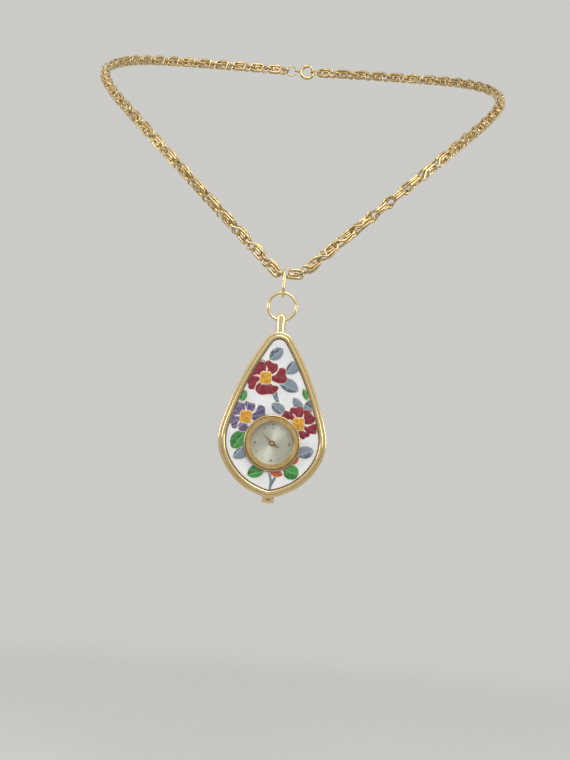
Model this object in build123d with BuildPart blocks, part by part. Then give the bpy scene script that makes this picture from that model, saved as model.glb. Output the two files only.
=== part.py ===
"""A drop-shaped pendant watch with an enamelled front, on a scroll-link neck chain.

The chain hangs as it is worn, in a closed loop. The origin is where the loop rests on the nape, +Z is up
and the dial faces -Y. All lengths are in millimetres.
"""

from build123d import *
import os
from math import cos, degrees, radians, sin, sqrt

os.makedirs("parts", exist_ok=True)

# Fits and overruns
fit = 0.05  # running or push fit, all round
seat = 0.08  # loose seat of hanging rings and dropped-in pieces
overrun = 1.0  # how far a cut runs past what it cuts

# Chain: each link is one wire, folded double, with a flat spiral at each end
chain_wire = 0.70
link_length = 5.0  # outside length of a spiral
link_width = 3.1  # outside width of a spiral
link_pitch = 7.05
fold_gap = 0.60  # between the front and the back spiral of one link
coil_gap = 0.09  # between neighbouring turns of a spiral
leg_gap = 0.20  # between a spiral and the next link's legs beside it
seat_gap = 0.16  # between a spiral's end and the next link's bight inside it
curl_reach = 0.42  # how far the inner curl runs past the spiral's middle
leg_straight = 1.2  # straight start of a leg, beside the next link's spiral
bight_bend = 0.55
leg_bend = 1.0
corner_share = 0.97  # of the largest corner radius that fits
links_a_side = 31
arm_stretches = ("front", "side", "back")  # each arm is kept in three pieces
left_twist = 13.0  # degrees that each left link turns about the chain, at most
right_twist = 18.0
face_twist_links = 12  # the left arm has turned face on after so many links

# Bail and jump ring
bail_wire = 0.95
bail_inner_width = 4.2
bail_straight = 3.1
ring_wire = 1.0
ring_outer_diameter = 9.6
ring_split_angle = -38.0
ring_split_gap = 0.12

# Neck post
post_diameter = 2.9
post_top_above_hole = 2.2
post_length_below_hole = 3.9
post_dome_share = 0.9  # of the post's radius, for the rounding of its top

# Case outline, measured from the centre of the watch
case_half_width = 16.5
shoulder_radius = 14.2
shoulder_height = 0.9
tip_radius = 5.0
tip_height = 34.2
side_radius = 93.0
bottom_drop = 16.6
lower_radius = 20.2

# Case depth and walls
case_depth = 7.6
outer_ridge_inset = 0.1
outer_ridge_width = 1.05
outer_ridge_drop = 0.5  # the outer ridge lies behind the inner one
inner_ridge_inset = 1.1
inner_ridge_width = 1.1
ridge_rounding = 0.45
ridge_depth = 1.9
wall_inset = 0.25
wall_thickness = 1.2
ledge_reach = 3.4
ledge_thickness = 0.5
cover_depth = 1.9
cover_wall = 0.6
cover_rounding = 1.3
cover_seam = 0.05
lip_depth = 0.7
lip_thickness = 0.8
lip_fit = 0.06

# Hinge at the bottom point
knuckle_diameter = 1.3
knuckle_length = 1.16
knuckle_gap = 0.06
hinge_pin_diameter = 0.6
knuckle_clearance = 0.08

# Enamelled plaque
plaque_clearance = 0.25
plate_thickness = 0.55
ground_thickness = 0.35
cell_depth = 0.20
cell_proud = 0.04

# Watch head
bezel_outer_diameter = 17.2
bezel_opening = 13.0
bezel_height = 1.45
bezel_edge_height = 0.6
bezel_step = 0.4
flute_count = 90
flute_width = 0.22
flute_depth = 0.12
crystal_diameter = 13.8
crystal_thickness = 0.5
crystal_set_back = 0.6
gasket_width = 0.28
gasket_thickness = 0.15
cup_diameter = 16.0
cup_wall = 0.5
cup_depth = 4.7
flange_width = 1.2
flange_thickness = 0.4
rehaut_opening = 13.2
rehaut_slope = 0.12

# Dial and hands
dial_diameter = 14.1
dial_thickness = 0.3
dial_set_back = 0.55  # from the enamel's front to the dial's face
marker_ring_radius = 5.15
marker_size = 0.55
marker_height = 0.2
stud_diameter = 0.30
hand_thickness = 0.12
hour_hand_lift = 0.25
minute_hand_lift = 0.45
hour_hand_length = 3.1
minute_hand_length = 4.9
hand_tail = 1.0
hour_hand_width = 0.62
minute_hand_width = 0.5
hub_radius = 0.85
minute_hub_radius = 0.65
hour_hand_angle = 116.0
minute_hand_angle = 314.0

# Movement
plate_diameter = 14.1
holder_wall = 0.35
holder_depth = 3.9
plate_gap = 0.7  # room for the motion work between the dial and the main plate
main_plate_thickness = 0.85
pillar_radius = 0.55
pillar_height = 1.9
bridge_thickness = 0.3
bridge_width = 1.7
gear_thickness = 0.2
gear_gap = 0.15
arbor_radius = 0.16
motion_module = 0.11
train_module = 0.10
rotor_module = 0.09
cannon_teeth = 12
minute_teeth = 36
minute_pinion_teeth = 10
hour_teeth = 40
centre_teeth = 72
intermediate_pinion_teeth = 8
intermediate_teeth = 60
rotor_teeth = 6
cannon_pipe_radius = 0.30
hour_pipe_wall = 0.15
pivot_depth = 0.2
tooth_height_shares = (1.15, 0.95)  # of the module, inside and outside the pitch circle
tooth_width_shares = (0.30, 0.20, 0.09)  # half widths at root, pitch circle and tip, of the tooth pitch
stator_shares = ((0.24, 0.38), (0.62, 0.135))  # bends of the lower arm, of the main plate's radius
stator_pad = 0.15
magnet_gap = 0.25
magnet_radius = 0.7
magnet_height = 0.5
minute_wheel_angle = 215.0
intermediate_angle = 120.0
rotor_angle = 25.0
coil_radius = 0.95
coil_length = 3.5
coil_distance = 5.35
coil_angle = 45.0
core_width = 0.9
core_thickness = 0.4
core_overhang = 1.0
stator_width = 0.8
battery_diameter = 5.8
battery_height = 1.65
battery_distance = 3.8
battery_angle = 229.0
strap_thickness = 0.15
strap_width = 1.6
can_radius = 0.65
can_length = 3.6
can_distance = 5.0
can_angle = 308.0
board_thickness = 0.2
board_width = 2.4
screw_head_radius = 0.5
screw_head_height = 0.22
screw_radius = 0.28
screw_length = 1.6
screw_distance = 6.35
screw_angles = (157.0, 346.0, 277.0)

# Setting stem and crown
stem_radius = 0.35
stem_inner_end = 4.5
groove_radius = 0.20
lever_thickness = 0.35
lever_width = 0.8
lever_length = 1.3
crown_radius = 1.3
crown_length = 1.9
crown_gap = 0.3
crown_grooves = 18
crown_groove_radius = 0.14
stem_travel = 0.7

# Clasp behind the neck
end_ring_wire = 0.5
end_ring_radius = 1.9
clasp_radius = 2.35
clasp_tube = 1.3
clasp_bore = 0.84
clasp_gap_angle = 60.0
clasp_gap_degrees = 50.0
clasp_socket_degrees = 20.0
clasp_bore_degrees = 130.0
tongue_overlap_degrees = 15.0
tongue_travel_degrees = 60.0
clasp_eye_radius = 0.9
eye_overlap = 0.15  # how far the eye's wire sinks into the tube it is soldered to
end_ring_slack = 0.12  # how far the right ring lies inside the last spiral
thumb_radius = 0.25
thumb_height = 0.7
clasp_spring_wire_ring = 0.6
clasp_spring_degrees = 48.0
slot_width = 0.6

# Half of the chain's loop in plan and height, as shares of its size
loop_shares = (
    (0.22, 0.025, 0.18),
    (0.40, 0.07, 0.36),
    (0.54, 0.16, 0.51),
    (0.64, 0.30, 0.635),
    (0.69, 0.48, 0.75),
    (0.67, 0.68, 0.85),
    (0.56, 0.88, 0.93),
    (0.36, 1.03, 0.98),
    (0.12, 1.10, 1.00),
)
nape_share = (0.0, 1.105, 1.0)
loop_start_share = (0.72, 0.08, 0.69)  # direction of the arm beside the bottom link


def spread(radius, angle):
    """A point at a radius and an angle in degrees, counted from +X towards +Z."""
    return (radius * cos(radians(angle)), radius * sin(radians(angle)))


# One link of the chain, along +X from the middle of its bight

spiral_half = (link_length - chain_wire) / 2
spiral_side = (link_width - chain_wire) / 2
curl_side = spiral_side - chain_wire - coil_gap
spiral_depth = (fold_gap + chain_wire) / 2
leg_depth = spiral_depth + chain_wire + leg_gap
link_seat = spiral_half - chain_wire - seat_gap
spiral_middle = link_pitch - link_seat


def link_half(side):
    """Corners of the wire from the inner curl to the bight, with their radii, on the front or back side."""
    z = side * spiral_depth
    start = spiral_middle - spiral_half
    points = [
        (spiral_middle - curl_reach, -curl_side, z),
        (spiral_middle + curl_reach, -curl_side, z),
        (spiral_middle + curl_reach, curl_side, z),
        (start, curl_side, z),
        (start, -spiral_side, z),
        (spiral_middle + spiral_half, -spiral_side, z),
        (spiral_middle + spiral_half, spiral_side, z),
        (start - chain_wire / 2, spiral_side, z),
        (leg_straight, 0, side * leg_depth),
        (0, 0, side * leg_depth),
    ]
    inner = corner_share * curl_side
    back = corner_share * (spiral_side + curl_side) / 2
    head = corner_share * spiral_side
    radii = [inner, inner, back, back, head, head, leg_bend, leg_bend, bight_bend]
    return points, radii


front_points, front_radii = link_half(1)
back_points, back_radii = link_half(-1)

with BuildPart() as chain_link:
    with BuildLine() as link_line:
        FilletPolyline(*front_points, *back_points[::-1], radius=front_radii + back_radii[::-1])
    with BuildSketch(Plane(origin=link_line.line @ 0, z_dir=link_line.line % 0)):
        Circle(chain_wire / 2)
    sweep(path=link_line.line)

# The chain's loop: a level bottom link, and an arm on each side that closes behind the neck

# Places along the clasp, counted from the left arm's last bight
left_ring_x = end_ring_radius - end_ring_wire / 2 - chain_wire / 2 - fit
eye_x = left_ring_x + end_ring_radius + clasp_eye_radius - end_ring_wire - fit
clasp_x = eye_x + clasp_eye_radius - eye_overlap + clasp_tube / 2 + clasp_radius
right_ring_x = clasp_x + clasp_radius - clasp_tube / 2 - end_ring_wire / 2 - fit + end_ring_radius
clasp_span = right_ring_x + end_ring_radius - end_ring_slack
arm_length = links_a_side * link_pitch + clasp_span / 2
loop_middle = link_pitch / 2


def arm_line(size):
    """Half of the loop for one overall size, from the bottom link's end to the nape."""
    corners = [(x * size, y * size, z * size) for x, y, z in loop_shares]
    nape = tuple(share * size for share in nape_share)
    return Spline([(loop_middle, 0, 0)] + corners + [nape], tangents=[loop_start_share, (-1, 0, 0)])


loop_size = arm_length / 2
for _ in range(6):
    with BuildLine(mode=Mode.PRIVATE):
        loop_size *= arm_length / arm_line(loop_size).length
with BuildLine(mode=Mode.PRIVATE):
    arm = arm_line(loop_size)

# Where the bail hangs on the bottom link, counted from that link's bight
leg_run = spiral_middle - spiral_half - chain_wire / 2 - leg_straight
bail_along = leg_straight + leg_run * 0.5
nape_y = nape_share[1] * loop_size
nape_z = nape_share[2] * loop_size
chain_origin = Vector(loop_middle - bail_along, -nape_y - leg_depth, -nape_z)


def link_place(start, end, face):
    """Where a link goes that runs from one joint to the next, with its flat side facing a direction."""
    return Plane(origin=start, x_dir=end - start, z_dir=face - (end - start).normalized() *
                 face.dot((end - start).normalized())).location


def arm_point(index, side):
    """A joint of the chain on one arm: index 0 is the bottom link's end."""
    point = arm.position_at(index * link_pitch, position_mode=PositionMode.LENGTH)
    return Vector(side * point.X, point.Y, point.Z) + chain_origin


def arm_face(index, side, turn):
    """The direction that a link's flat side faces, turned about the chain from the outward one."""
    along = (arm_point(index + 1, side) - arm_point(index, side)).normalized()
    middle = arm.position_at((index + loop_middle / link_pitch) * link_pitch, position_mode=PositionMode.LENGTH)
    outward = Vector(side * middle.X, middle.Y - loop_shares[4][1] * loop_size, 0)
    front = Vector(0, -1, 0)
    lean = min(1, max(0, (index - face_twist_links) / face_twist_links))
    face = front * (1 - lean) + outward.normalized() * lean
    face = (face - along * face.dot(along)).normalized()
    return face.rotate(Axis((0, 0, 0), along), side * turn)


def left_turn(index):
    """The left arm turns away from the viewer near the pendant and faces front again further up."""
    climb = min(index, face_twist_links / 3)
    fall = max(0, index - face_twist_links / 3)
    return left_twist * max(0, climb - fall / 2)


def right_turn(index):
    """The right arm makes one slow half turn and then lies flat."""
    return -min(180, right_twist * index)


bottom_start = arm_point(0, -1)
bottom_end = arm_point(0, 1)
bottom_place = link_place(bottom_start, bottom_end, Vector(0, 1, 0))

right_places = []
left_places = []
for index in range(links_a_side):
    right_face = arm_face(index, 1, right_turn(index)) * -1
    right_places.append(link_place(arm_point(index, 1), arm_point(index + 1, 1), right_face))
    left_face = arm_face(index, -1, left_turn(index))
    left_places.append(link_place(arm_point(index + 1, -1), arm_point(index, -1), left_face))

chain_bottom_link = chain_link.part.moved(bottom_place)
chain_bottom_link.label = "chain_bottom_link"
export_step(chain_bottom_link, "parts/chain_bottom_link.step")

stretch_links = -(-links_a_side // len(arm_stretches))
for side_name, places in (("right", right_places), ("left", left_places)):
    for number, stretch in enumerate(arm_stretches):
        own_places = places[number * stretch_links:(number + 1) * stretch_links]
        links_name = f"chain_{side_name}_{stretch}"
        links = Compound(label=links_name, children=[chain_link.part.solid().moved(p) for p in own_places])
        export_step(links, f"parts/{links_name}.step")

# Bail: an oval ring that hangs on the bottom link's legs, with its flat side facing sideways

bail_radius = (bail_inner_width + bail_wire) / 2
leg_share = (bail_along - bail_wire / 2 - leg_straight) / leg_run
leg_aside = leg_depth - (leg_depth - spiral_depth) * leg_share
leg_down = spiral_side * leg_share
bail_reach = bail_inner_width / 2 - chain_wire / 2 - seat
bail_top_z = chain_origin.Z - leg_down - sqrt(bail_reach**2 - leg_aside**2)
bail_y = chain_origin.Y
bail_x = 0.0
bail_bottom_z = bail_top_z - bail_straight
bail_low_z = bail_bottom_z - bail_radius  # middle of the wire at the lowest point

with BuildPart() as bail:
    with BuildLine(Plane(origin=(bail_x, bail_y, 0), x_dir=(0, 1, 0), z_dir=(1, 0, 0))) as bail_line:
        CenterArc((0, bail_top_z), bail_radius, 0, 180)
        Line((-bail_radius, bail_top_z), (-bail_radius, bail_bottom_z))
        CenterArc((0, bail_bottom_z), bail_radius, 180, 180)
        Line((bail_radius, bail_bottom_z), (bail_radius, bail_top_z))
    with BuildSketch(Plane(origin=(bail_x, bail_y + bail_radius, bail_top_z), z_dir=(0, 0, 1))):
        Circle(bail_wire / 2)
    sweep(path=bail_line.wire())
bail.part.label = "bail"
export_step(bail.part, "parts/bail.step")

# Jump ring: it hangs in the bail, with a sawn split at its lower right

ring_radius = (ring_outer_diameter - ring_wire) / 2
ring_z = bail_low_z + bail_wire / 2 + ring_wire / 2 + seat - ring_radius
ring_plane = Plane(origin=(0, bail_y, ring_z), x_dir=(1, 0, 0), z_dir=(0, -1, 0))
ring_split_half = degrees(ring_split_gap / 2 / ring_radius)

with BuildPart() as jump_ring:
    with BuildLine(ring_plane) as ring_line:
        CenterArc((0, 0), ring_radius, ring_split_angle + ring_split_half, 360 - 2 * ring_split_half)
    with BuildSketch(Plane(origin=ring_line.line @ 0, z_dir=ring_line.line % 0)):
        Circle(ring_wire / 2)
    sweep(path=ring_line.line)
jump_ring.part.label = "jump_ring"
export_step(jump_ring.part, "parts/jump_ring.step")

# Neck post: a polished pin with a domed top and a cross hole for the ring

ring_sag = ring_radius - sqrt(ring_radius**2 - (post_diameter / 2) ** 2)
hole_z = ring_z - ring_radius + ring_sag / 2
hole_radius = ring_wire / 2 + ring_sag / 2 + seat
post_bottom_z = hole_z - post_length_below_hole
head_z = post_bottom_z - tip_height  # height of the watch's centre
head_y = bail_y


def front_plane(depth):
    """A sketch plane that faces the viewer, centred on the watch, at a depth behind the case's middle."""
    return Plane(origin=(0, head_y + depth, head_z), x_dir=(1, 0, 0), z_dir=(0, -1, 0))


def meet(first, first_reach, second, second_reach, side):
    """The point at two reaches from two centres, on the given side of the line from first to second."""
    across = second - first
    along = (first_reach**2 - second_reach**2 + across.length**2) / (2 * across.length)
    off = sqrt(first_reach**2 - along**2)
    direction = across.normalized()
    return first + direction * along + Vector(-direction.Y, direction.X) * (off * side)


tip_centre = Vector(0, tip_height - tip_radius)
shoulder_centre = Vector(case_half_width - shoulder_radius, shoulder_height)
bottom_point = Vector(0, -bottom_drop)
side_centre = meet(tip_centre, side_radius - tip_radius, shoulder_centre, side_radius - shoulder_radius, -1)
lower_centre = meet(shoulder_centre, lower_radius - shoulder_radius, bottom_point, lower_radius, -1)


def arc_round(centre, radius, start, end):
    """An arc about a centre, between two directions from it."""
    middle = (start.normalized() + end.normalized()).normalized()
    ThreePointArc(centre + start.normalized() * radius, centre + middle * radius, centre + end.normalized() * radius)


def case_face(inset):
    """The drop-shaped outline, drawn in from the case's widest outline by an inset."""
    to_tip = tip_centre - side_centre
    to_shoulder = shoulder_centre - side_centre
    from_lower = shoulder_centre - lower_centre
    lower_reach = lower_radius - inset
    low = Vector(-lower_centre.X, -sqrt(lower_reach**2 - lower_centre.X**2))
    with BuildSketch(Plane.XY, mode=Mode.PRIVATE) as face:
        with BuildLine():
            arc_round(tip_centre, tip_radius - inset, Vector(0, 1), to_tip)
            arc_round(side_centre, side_radius - inset, to_tip, to_shoulder)
            arc_round(shoulder_centre, shoulder_radius - inset, to_shoulder, from_lower)
            arc_round(lower_centre, lower_reach, from_lower, low)
            mirror(about=Plane.YZ)
        make_face()
    return face.sketch


with BuildPart() as post:
    with BuildSketch(Plane.XY.offset(post_bottom_z - tip_radius / 2)):
        with Locations((0, head_y)):
            Circle(post_diameter / 2)
    extrude(amount=post_length_below_hole + post_top_above_hole + tip_radius / 2)
    fillet(post.edges().group_by(Axis.Z)[-1], post_diameter / 2 * post_dome_share)
    with Locations(Plane(origin=(0, head_y, hole_z), z_dir=(1, 0, 0))):
        Cylinder(hole_radius, post_diameter + overrun, mode=Mode.SUBTRACT)
    with BuildSketch(front_plane(post_diameter)):
        add(case_face(wall_inset))
    extrude(amount=2 * post_diameter, mode=Mode.SUBTRACT)
post.part.label = "neck_post"
export_step(post.part, "parts/neck_post.step")

# Depths of the case's layers, measured back from the case's middle

rim_front = -case_depth / 2
ridge_back = rim_front + ridge_depth
seam_y = case_depth / 2 - cover_depth
ledge_front = ridge_back - ledge_thickness
knuckle_radius = knuckle_diameter / 2
hinge_z = -bottom_drop - knuckle_radius - knuckle_clearance
hinge_step = knuckle_length + knuckle_gap

with BuildPart() as case_frame:
    with BuildSketch(front_plane(ridge_back)):
        add(case_face(inner_ridge_inset))
        add(case_face(inner_ridge_inset + inner_ridge_width), mode=Mode.SUBTRACT)
    extrude(amount=ridge_depth)
    fillet(case_frame.faces().sort_by(Axis.Y)[0].edges(), ridge_rounding)
    with BuildSketch(front_plane(ridge_back)):
        add(case_face(outer_ridge_inset))
        add(case_face(outer_ridge_inset + outer_ridge_width), mode=Mode.SUBTRACT)
    extrude(amount=ridge_depth - outer_ridge_drop)
    outer_edges = case_frame.faces().filter_by(Axis.Y).group_by(Axis.Y)[1].edges()
    right_edge = outer_edges.sort_by(lambda edge: edge.bounding_box().max.X)[-1]
    left_edge = outer_edges.sort_by(lambda edge: edge.bounding_box().min.X)[0]
    fillet([left_edge, right_edge], ridge_rounding)
    with BuildSketch(front_plane(ridge_back)):
        add(case_face(inner_ridge_inset))
        add(case_face(ledge_reach), mode=Mode.SUBTRACT)
    extrude(amount=ledge_thickness)
    with BuildSketch(front_plane(seam_y)):
        add(case_face(wall_inset))
        add(case_face(wall_inset + wall_thickness), mode=Mode.SUBTRACT)
    extrude(amount=seam_y - ridge_back)
    for side in (-1, 1):
        with BuildSketch(Plane.YZ.offset(side * hinge_step - knuckle_length / 2)):
            with Locations((head_y + seam_y, head_z + hinge_z)):
                Circle(knuckle_radius)
                Rectangle(knuckle_radius, 2 * knuckle_radius + wall_inset + knuckle_clearance,
                          align=(Align.MAX, Align.MIN))
        extrude(amount=knuckle_length)
    with Locations(Plane(origin=(0, head_y + seam_y, head_z + hinge_z), z_dir=(1, 0, 0))):
        Cylinder(hinge_pin_diameter / 2, case_half_width, mode=Mode.SUBTRACT)
case_frame.part.label = "case_frame"
export_step(case_frame.part, "parts/case_frame.step")

# Back cover: a domed shell with a snap lip, hinged on the middle knuckle

with BuildPart() as back_cover:
    with BuildSketch(front_plane(case_depth / 2)):
        add(case_face(wall_inset))
    extrude(amount=cover_depth - cover_seam)
    fillet(back_cover.faces().sort_by(Axis.Y)[-1].edges(), cover_rounding)
    with BuildSketch(front_plane(case_depth / 2 - cover_wall)):
        add(case_face(wall_inset + wall_thickness + lip_thickness))
    extrude(amount=cover_depth, mode=Mode.SUBTRACT)
    with BuildSketch(front_plane(seam_y + cover_seam)):
        add(case_face(wall_inset + wall_thickness + lip_fit))
        add(case_face(wall_inset + wall_thickness + lip_thickness), mode=Mode.SUBTRACT)
    extrude(amount=lip_depth)
    with BuildSketch(Plane.YZ.offset(-knuckle_length / 2)):
        with Locations((head_y + seam_y, head_z + hinge_z)):
            Circle(knuckle_radius)
        with Locations((head_y + seam_y + cover_seam, head_z + hinge_z)):
            Rectangle(knuckle_radius - cover_seam, knuckle_radius + wall_inset + knuckle_clearance + cover_rounding,
                      align=(Align.MIN, Align.MIN))
    extrude(amount=knuckle_length)
    with Locations(Plane(origin=(0, head_y + seam_y, head_z + hinge_z), z_dir=(1, 0, 0))):
        Cylinder(hinge_pin_diameter / 2 + fit / 2, case_half_width, mode=Mode.SUBTRACT)
back_cover.part.label = "back_cover"
export_step(back_cover.part, "parts/back_cover.step")

with BuildPart() as hinge_pin:
    with Locations(Plane(origin=(0, head_y + seam_y, head_z + hinge_z), z_dir=(1, 0, 0))):
        Cylinder(hinge_pin_diameter / 2, 3 * knuckle_length + 2 * knuckle_gap)
hinge_pin.part.label = "hinge_pin"
export_step(hinge_pin.part, "parts/hinge_pin.step")

# Plaque: a copper plate with a white enamel ground and coloured cells let into it

plaque_inset = inner_ridge_inset + inner_ridge_width + plaque_clearance
plate_back = ledge_front
plate_front = plate_back - plate_thickness
enamel_front = plate_front - ground_thickness
cell_floor = enamel_front + cell_depth
head_hole = cup_diameter / 2 + seat

with BuildPart() as plaque:
    with BuildSketch(front_plane(plate_back)):
        add(case_face(plaque_inset))
        Circle(head_hole, mode=Mode.SUBTRACT)
    extrude(amount=plate_thickness)
plaque.part.label = "plaque_plate"
export_step(plaque.part, "parts/plaque_plate.step")

# Flowers: centre, petals as (start angle, end angle, reach), all as shares of the case's outline
red_flower_share = (-0.203, 0.576)
violet_flower_share = (-0.513, 0.219)
side_flower_share = (0.459, 0.187)
stamen_share = (0.21, 0.235)
stamen_corner_share = 0.05
petal_root_share = 0.09
petal_shoulder_share = 0.84  # of the reach, where a petal's side turns into its edge
petal_notch_share = 0.94  # of the reach, in the middle of the edge
petal_sweep = 7.0  # degrees that a petal's sides bow
red_petals_share = ((40, 97, 0.33), (-14, 38, 0.40), (-130, -30, 0.33), (-180, -132, 0.37), (99, 178, 0.34))
violet_petals_share = ((106, 186, 0.31), (48, 104, 0.29), (-15, 46, 0.39), (-172, -125, 0.33), (-123, -60, 0.29))
side_petals_share = ((75, 130, 0.33), (132, 172, 0.36), (8, 73, 0.32), (-33, 6, 0.37), (-80, -35, 0.30))
# Leaves as (base, tip, width), with the places as shares of the half width and of the height above or below
grey_leaves_share = (
    ((-0.16, 0.735), (0.08, 0.85), 0.21),
    ((-0.22, 0.665), (-0.37, 0.745), 0.14),
    ((0.16, 0.62), (0.43, 0.75), 0.22),
    ((0.03, 0.575), (0.415, 0.475), 0.25),
    ((-0.06, 0.35), (0.20, 0.275), 0.20),
    ((0.52, 0.28), (0.33, 0.425), 0.17),
    ((0.56, 0.27), (0.70, 0.42), 0.19),
    ((-0.36, -0.082), (-0.70, -0.319), 0.22),
    ((0.46, -0.165), (0.77, -0.082), 0.24),
)
green_leaves_share = (
    ((-0.56, 0.46), (-0.62, 0.35), 0.15),
    ((0.50, 0.505), (0.59, 0.40), 0.11),
    ((-0.52, 0.095), (-0.72, -0.144), 0.28),
    ((-0.10, -0.433), (-0.41, -0.612), 0.24),
    ((0.27, -0.412), (0.50, -0.587), 0.28),
)
blossom_share = (((-0.01, -0.515), (0.24, -0.556), 0.14), ((0.34, -0.371), (0.50, -0.165), 0.16))
stem_width_share = 0.05
stems_share = (
    ((-0.07, 0.45), (0.06, 0.352)),
    ((0.0, 0.46), (0.06, 0.352)),
    ((-0.01, -0.536), (0.03, -0.690)),
    ((0.13, -0.556), (0.03, -0.762)),
    ((0.03, -0.690), (0.015, -0.886)),
)


def spot(share):
    """A place on the plaque from its shares of the case's half width and of its height above or below."""
    return Vector(share[0] * case_half_width, share[1] * (tip_height if share[1] > 0 else bottom_drop))


def petals_face(centre_share, petals_share):
    """One flower's petals: notched wedges about its centre, with sides that all bow the same way."""
    centre = spot(centre_share)
    root = petal_root_share * case_half_width
    with BuildSketch(Plane.XY, mode=Mode.PRIVATE) as face:
        for start, end, reach_share in petals_share:
            reach = reach_share * case_half_width
            quarter = (end - start) / 4
            outline = (
                (root, start),
                ((root + reach) / 2, start - petal_sweep),
                (petal_shoulder_share * reach, start),
                (reach, start + quarter),
                (petal_notch_share * reach, start + 2 * quarter),
                (reach, end - quarter),
                (petal_shoulder_share * reach, end),
                ((root + reach) / 2, end - petal_sweep),
                (root, end),
            )
            corners = [centre + Vector(*spread(radius, angle)) for radius, angle in outline]
            with BuildLine():
                Spline(*corners)
                Line(corners[-1], corners[0])
            make_face()
    return face.sketch


def leaves_face(leaves_share):
    """Pointed leaves, each between a base and a tip."""
    with BuildSketch(Plane.XY, mode=Mode.PRIVATE) as face:
        for base_share, tip_share, width_share in leaves_share:
            base = spot(base_share)
            tip = spot(tip_share)
            along = tip - base
            aside = Vector(-along.Y, along.X).normalized() * (width_share * case_half_width / 2)
            with BuildLine():
                ThreePointArc(base, base + along / 2 + aside, tip)
                ThreePointArc(tip, base + along / 2 - aside, base)
            make_face()
    return face.sketch


def stems_face(lines_share):
    """Straight stems of one width."""
    with BuildSketch(Plane.XY, mode=Mode.PRIVATE) as face:
        for start_share, end_share in lines_share:
            with BuildLine() as stem:
                Line(spot(start_share), spot(end_share))
            trace(stem.line, stem_width_share * case_half_width)
    return face.sketch


with BuildSketch(Plane.XY) as stamen_cells:
    for share in (red_flower_share, violet_flower_share, side_flower_share):
        with Locations(spot(share)):
            RectangleRounded(*(side * case_half_width for side in stamen_share), stamen_corner_share * case_half_width)
red_cells_face = petals_face(red_flower_share, red_petals_share) + petals_face(side_flower_share, side_petals_share)
cell_faces = (
    ("enamel_stamens", stamen_cells.sketch),
    ("enamel_red_petals", red_cells_face),
    ("enamel_violet_petals", petals_face(violet_flower_share, violet_petals_share)),
    ("enamel_green_leaves", leaves_face(green_leaves_share)),
    ("enamel_grey_leaves", leaves_face(grey_leaves_share)),
    ("enamel_blossom", leaves_face(blossom_share)),
    ("enamel_stems", stems_face(stems_share)),
)

bezel_hole = bezel_outer_diameter / 2
taken = []
cells = []
for name, face in cell_faces:
    with BuildPart() as cell:
        with BuildSketch(front_plane(cell_floor)):
            add(face)
            add(case_face(plaque_inset), mode=Mode.INTERSECT)
            Circle(bezel_hole, mode=Mode.SUBTRACT)
            for earlier in taken:
                add(earlier, mode=Mode.SUBTRACT)
        extrude(amount=cell_depth + cell_proud)
    cell.part.label = name
    export_step(cell.part, f"parts/{name}.step")
    taken.append(face)
    cells.append(cell.part)

with BuildPart() as enamel_ground:
    with BuildSketch(front_plane(plate_front)):
        add(case_face(plaque_inset))
        Circle(head_hole, mode=Mode.SUBTRACT)
    extrude(amount=ground_thickness)
    for cell_part in cells:
        add(cell_part, mode=Mode.SUBTRACT)
enamel_ground.part.label = "enamel_ground"
export_step(enamel_ground.part, "parts/enamel_ground.step")

# Watch head: bezel, crystal, gasket, reflector ring and the cup that holds the movement

head_axis = Axis((0, head_y, head_z), (0, 1, 0))
turned_plane = Plane(origin=(0, head_y, head_z), x_dir=(1, 0, 0), z_dir=(0, 0, 1))
bezel_radius = bezel_outer_diameter / 2
opening_radius = bezel_opening / 2
crystal_radius = crystal_diameter / 2
bezel_front = enamel_front - bezel_height
crystal_front = bezel_front + crystal_set_back
crystal_back = crystal_front + crystal_thickness
gasket_back = crystal_back + gasket_thickness
dial_front = enamel_front + dial_set_back
dial_back = dial_front + dial_thickness
cup_radius = cup_diameter / 2
cup_inner = cup_radius - cup_wall

with BuildPart() as watch_bezel:
    with BuildSketch(turned_plane):
        with BuildLine():
            Polyline(
                (crystal_radius + fit, enamel_front),
                (bezel_radius, enamel_front),
                (bezel_radius, enamel_front - bezel_edge_height),
                (bezel_radius - bezel_step, enamel_front - bezel_edge_height),
                (bezel_radius - bezel_step, bezel_front + bezel_step),
                (bezel_radius - 2 * bezel_step, bezel_front),
                (opening_radius + bezel_step, bezel_front),
                (opening_radius, bezel_front + bezel_step),
                (opening_radius, crystal_front),
                (crystal_radius + fit, crystal_front),
                close=True,
            )
        make_face()
    revolve(axis=head_axis)
    with BuildSketch(front_plane(enamel_front)):
        with PolarLocations(bezel_radius + flute_width / 2 - flute_depth, flute_count):
            Circle(flute_width / 2)
    extrude(amount=bezel_edge_height, mode=Mode.SUBTRACT)
watch_bezel.part.label = "watch_bezel"
export_step(watch_bezel.part, "parts/watch_bezel.step")

with BuildPart() as crystal:
    with BuildSketch(front_plane(crystal_back)):
        Circle(crystal_radius)
    extrude(amount=crystal_thickness)
crystal.part.label = "crystal"
export_step(crystal.part, "parts/crystal.step")

with BuildPart() as gasket:
    with BuildSketch(front_plane(gasket_back)):
        Circle(crystal_radius)
        Circle(crystal_radius - gasket_width, mode=Mode.SUBTRACT)
    extrude(amount=gasket_thickness)
gasket.part.label = "crystal_gasket"
export_step(gasket.part, "parts/crystal_gasket.step")

with BuildPart() as rehaut:
    with BuildSketch(turned_plane):
        with BuildLine():
            Polyline(
                (crystal_radius, gasket_back),
                (rehaut_opening / 2, gasket_back),
                (rehaut_opening / 2 - rehaut_slope, dial_front),
                (crystal_radius, dial_front),
                close=True,
            )
        make_face()
    revolve(axis=head_axis)
rehaut.part.label = "reflector_ring"
export_step(rehaut.part, "parts/reflector_ring.step")

main_plate_front = dial_back + plate_gap
main_plate_back = main_plate_front + main_plate_thickness
stem_y = main_plate_back + stem_radius + gear_gap


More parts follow.
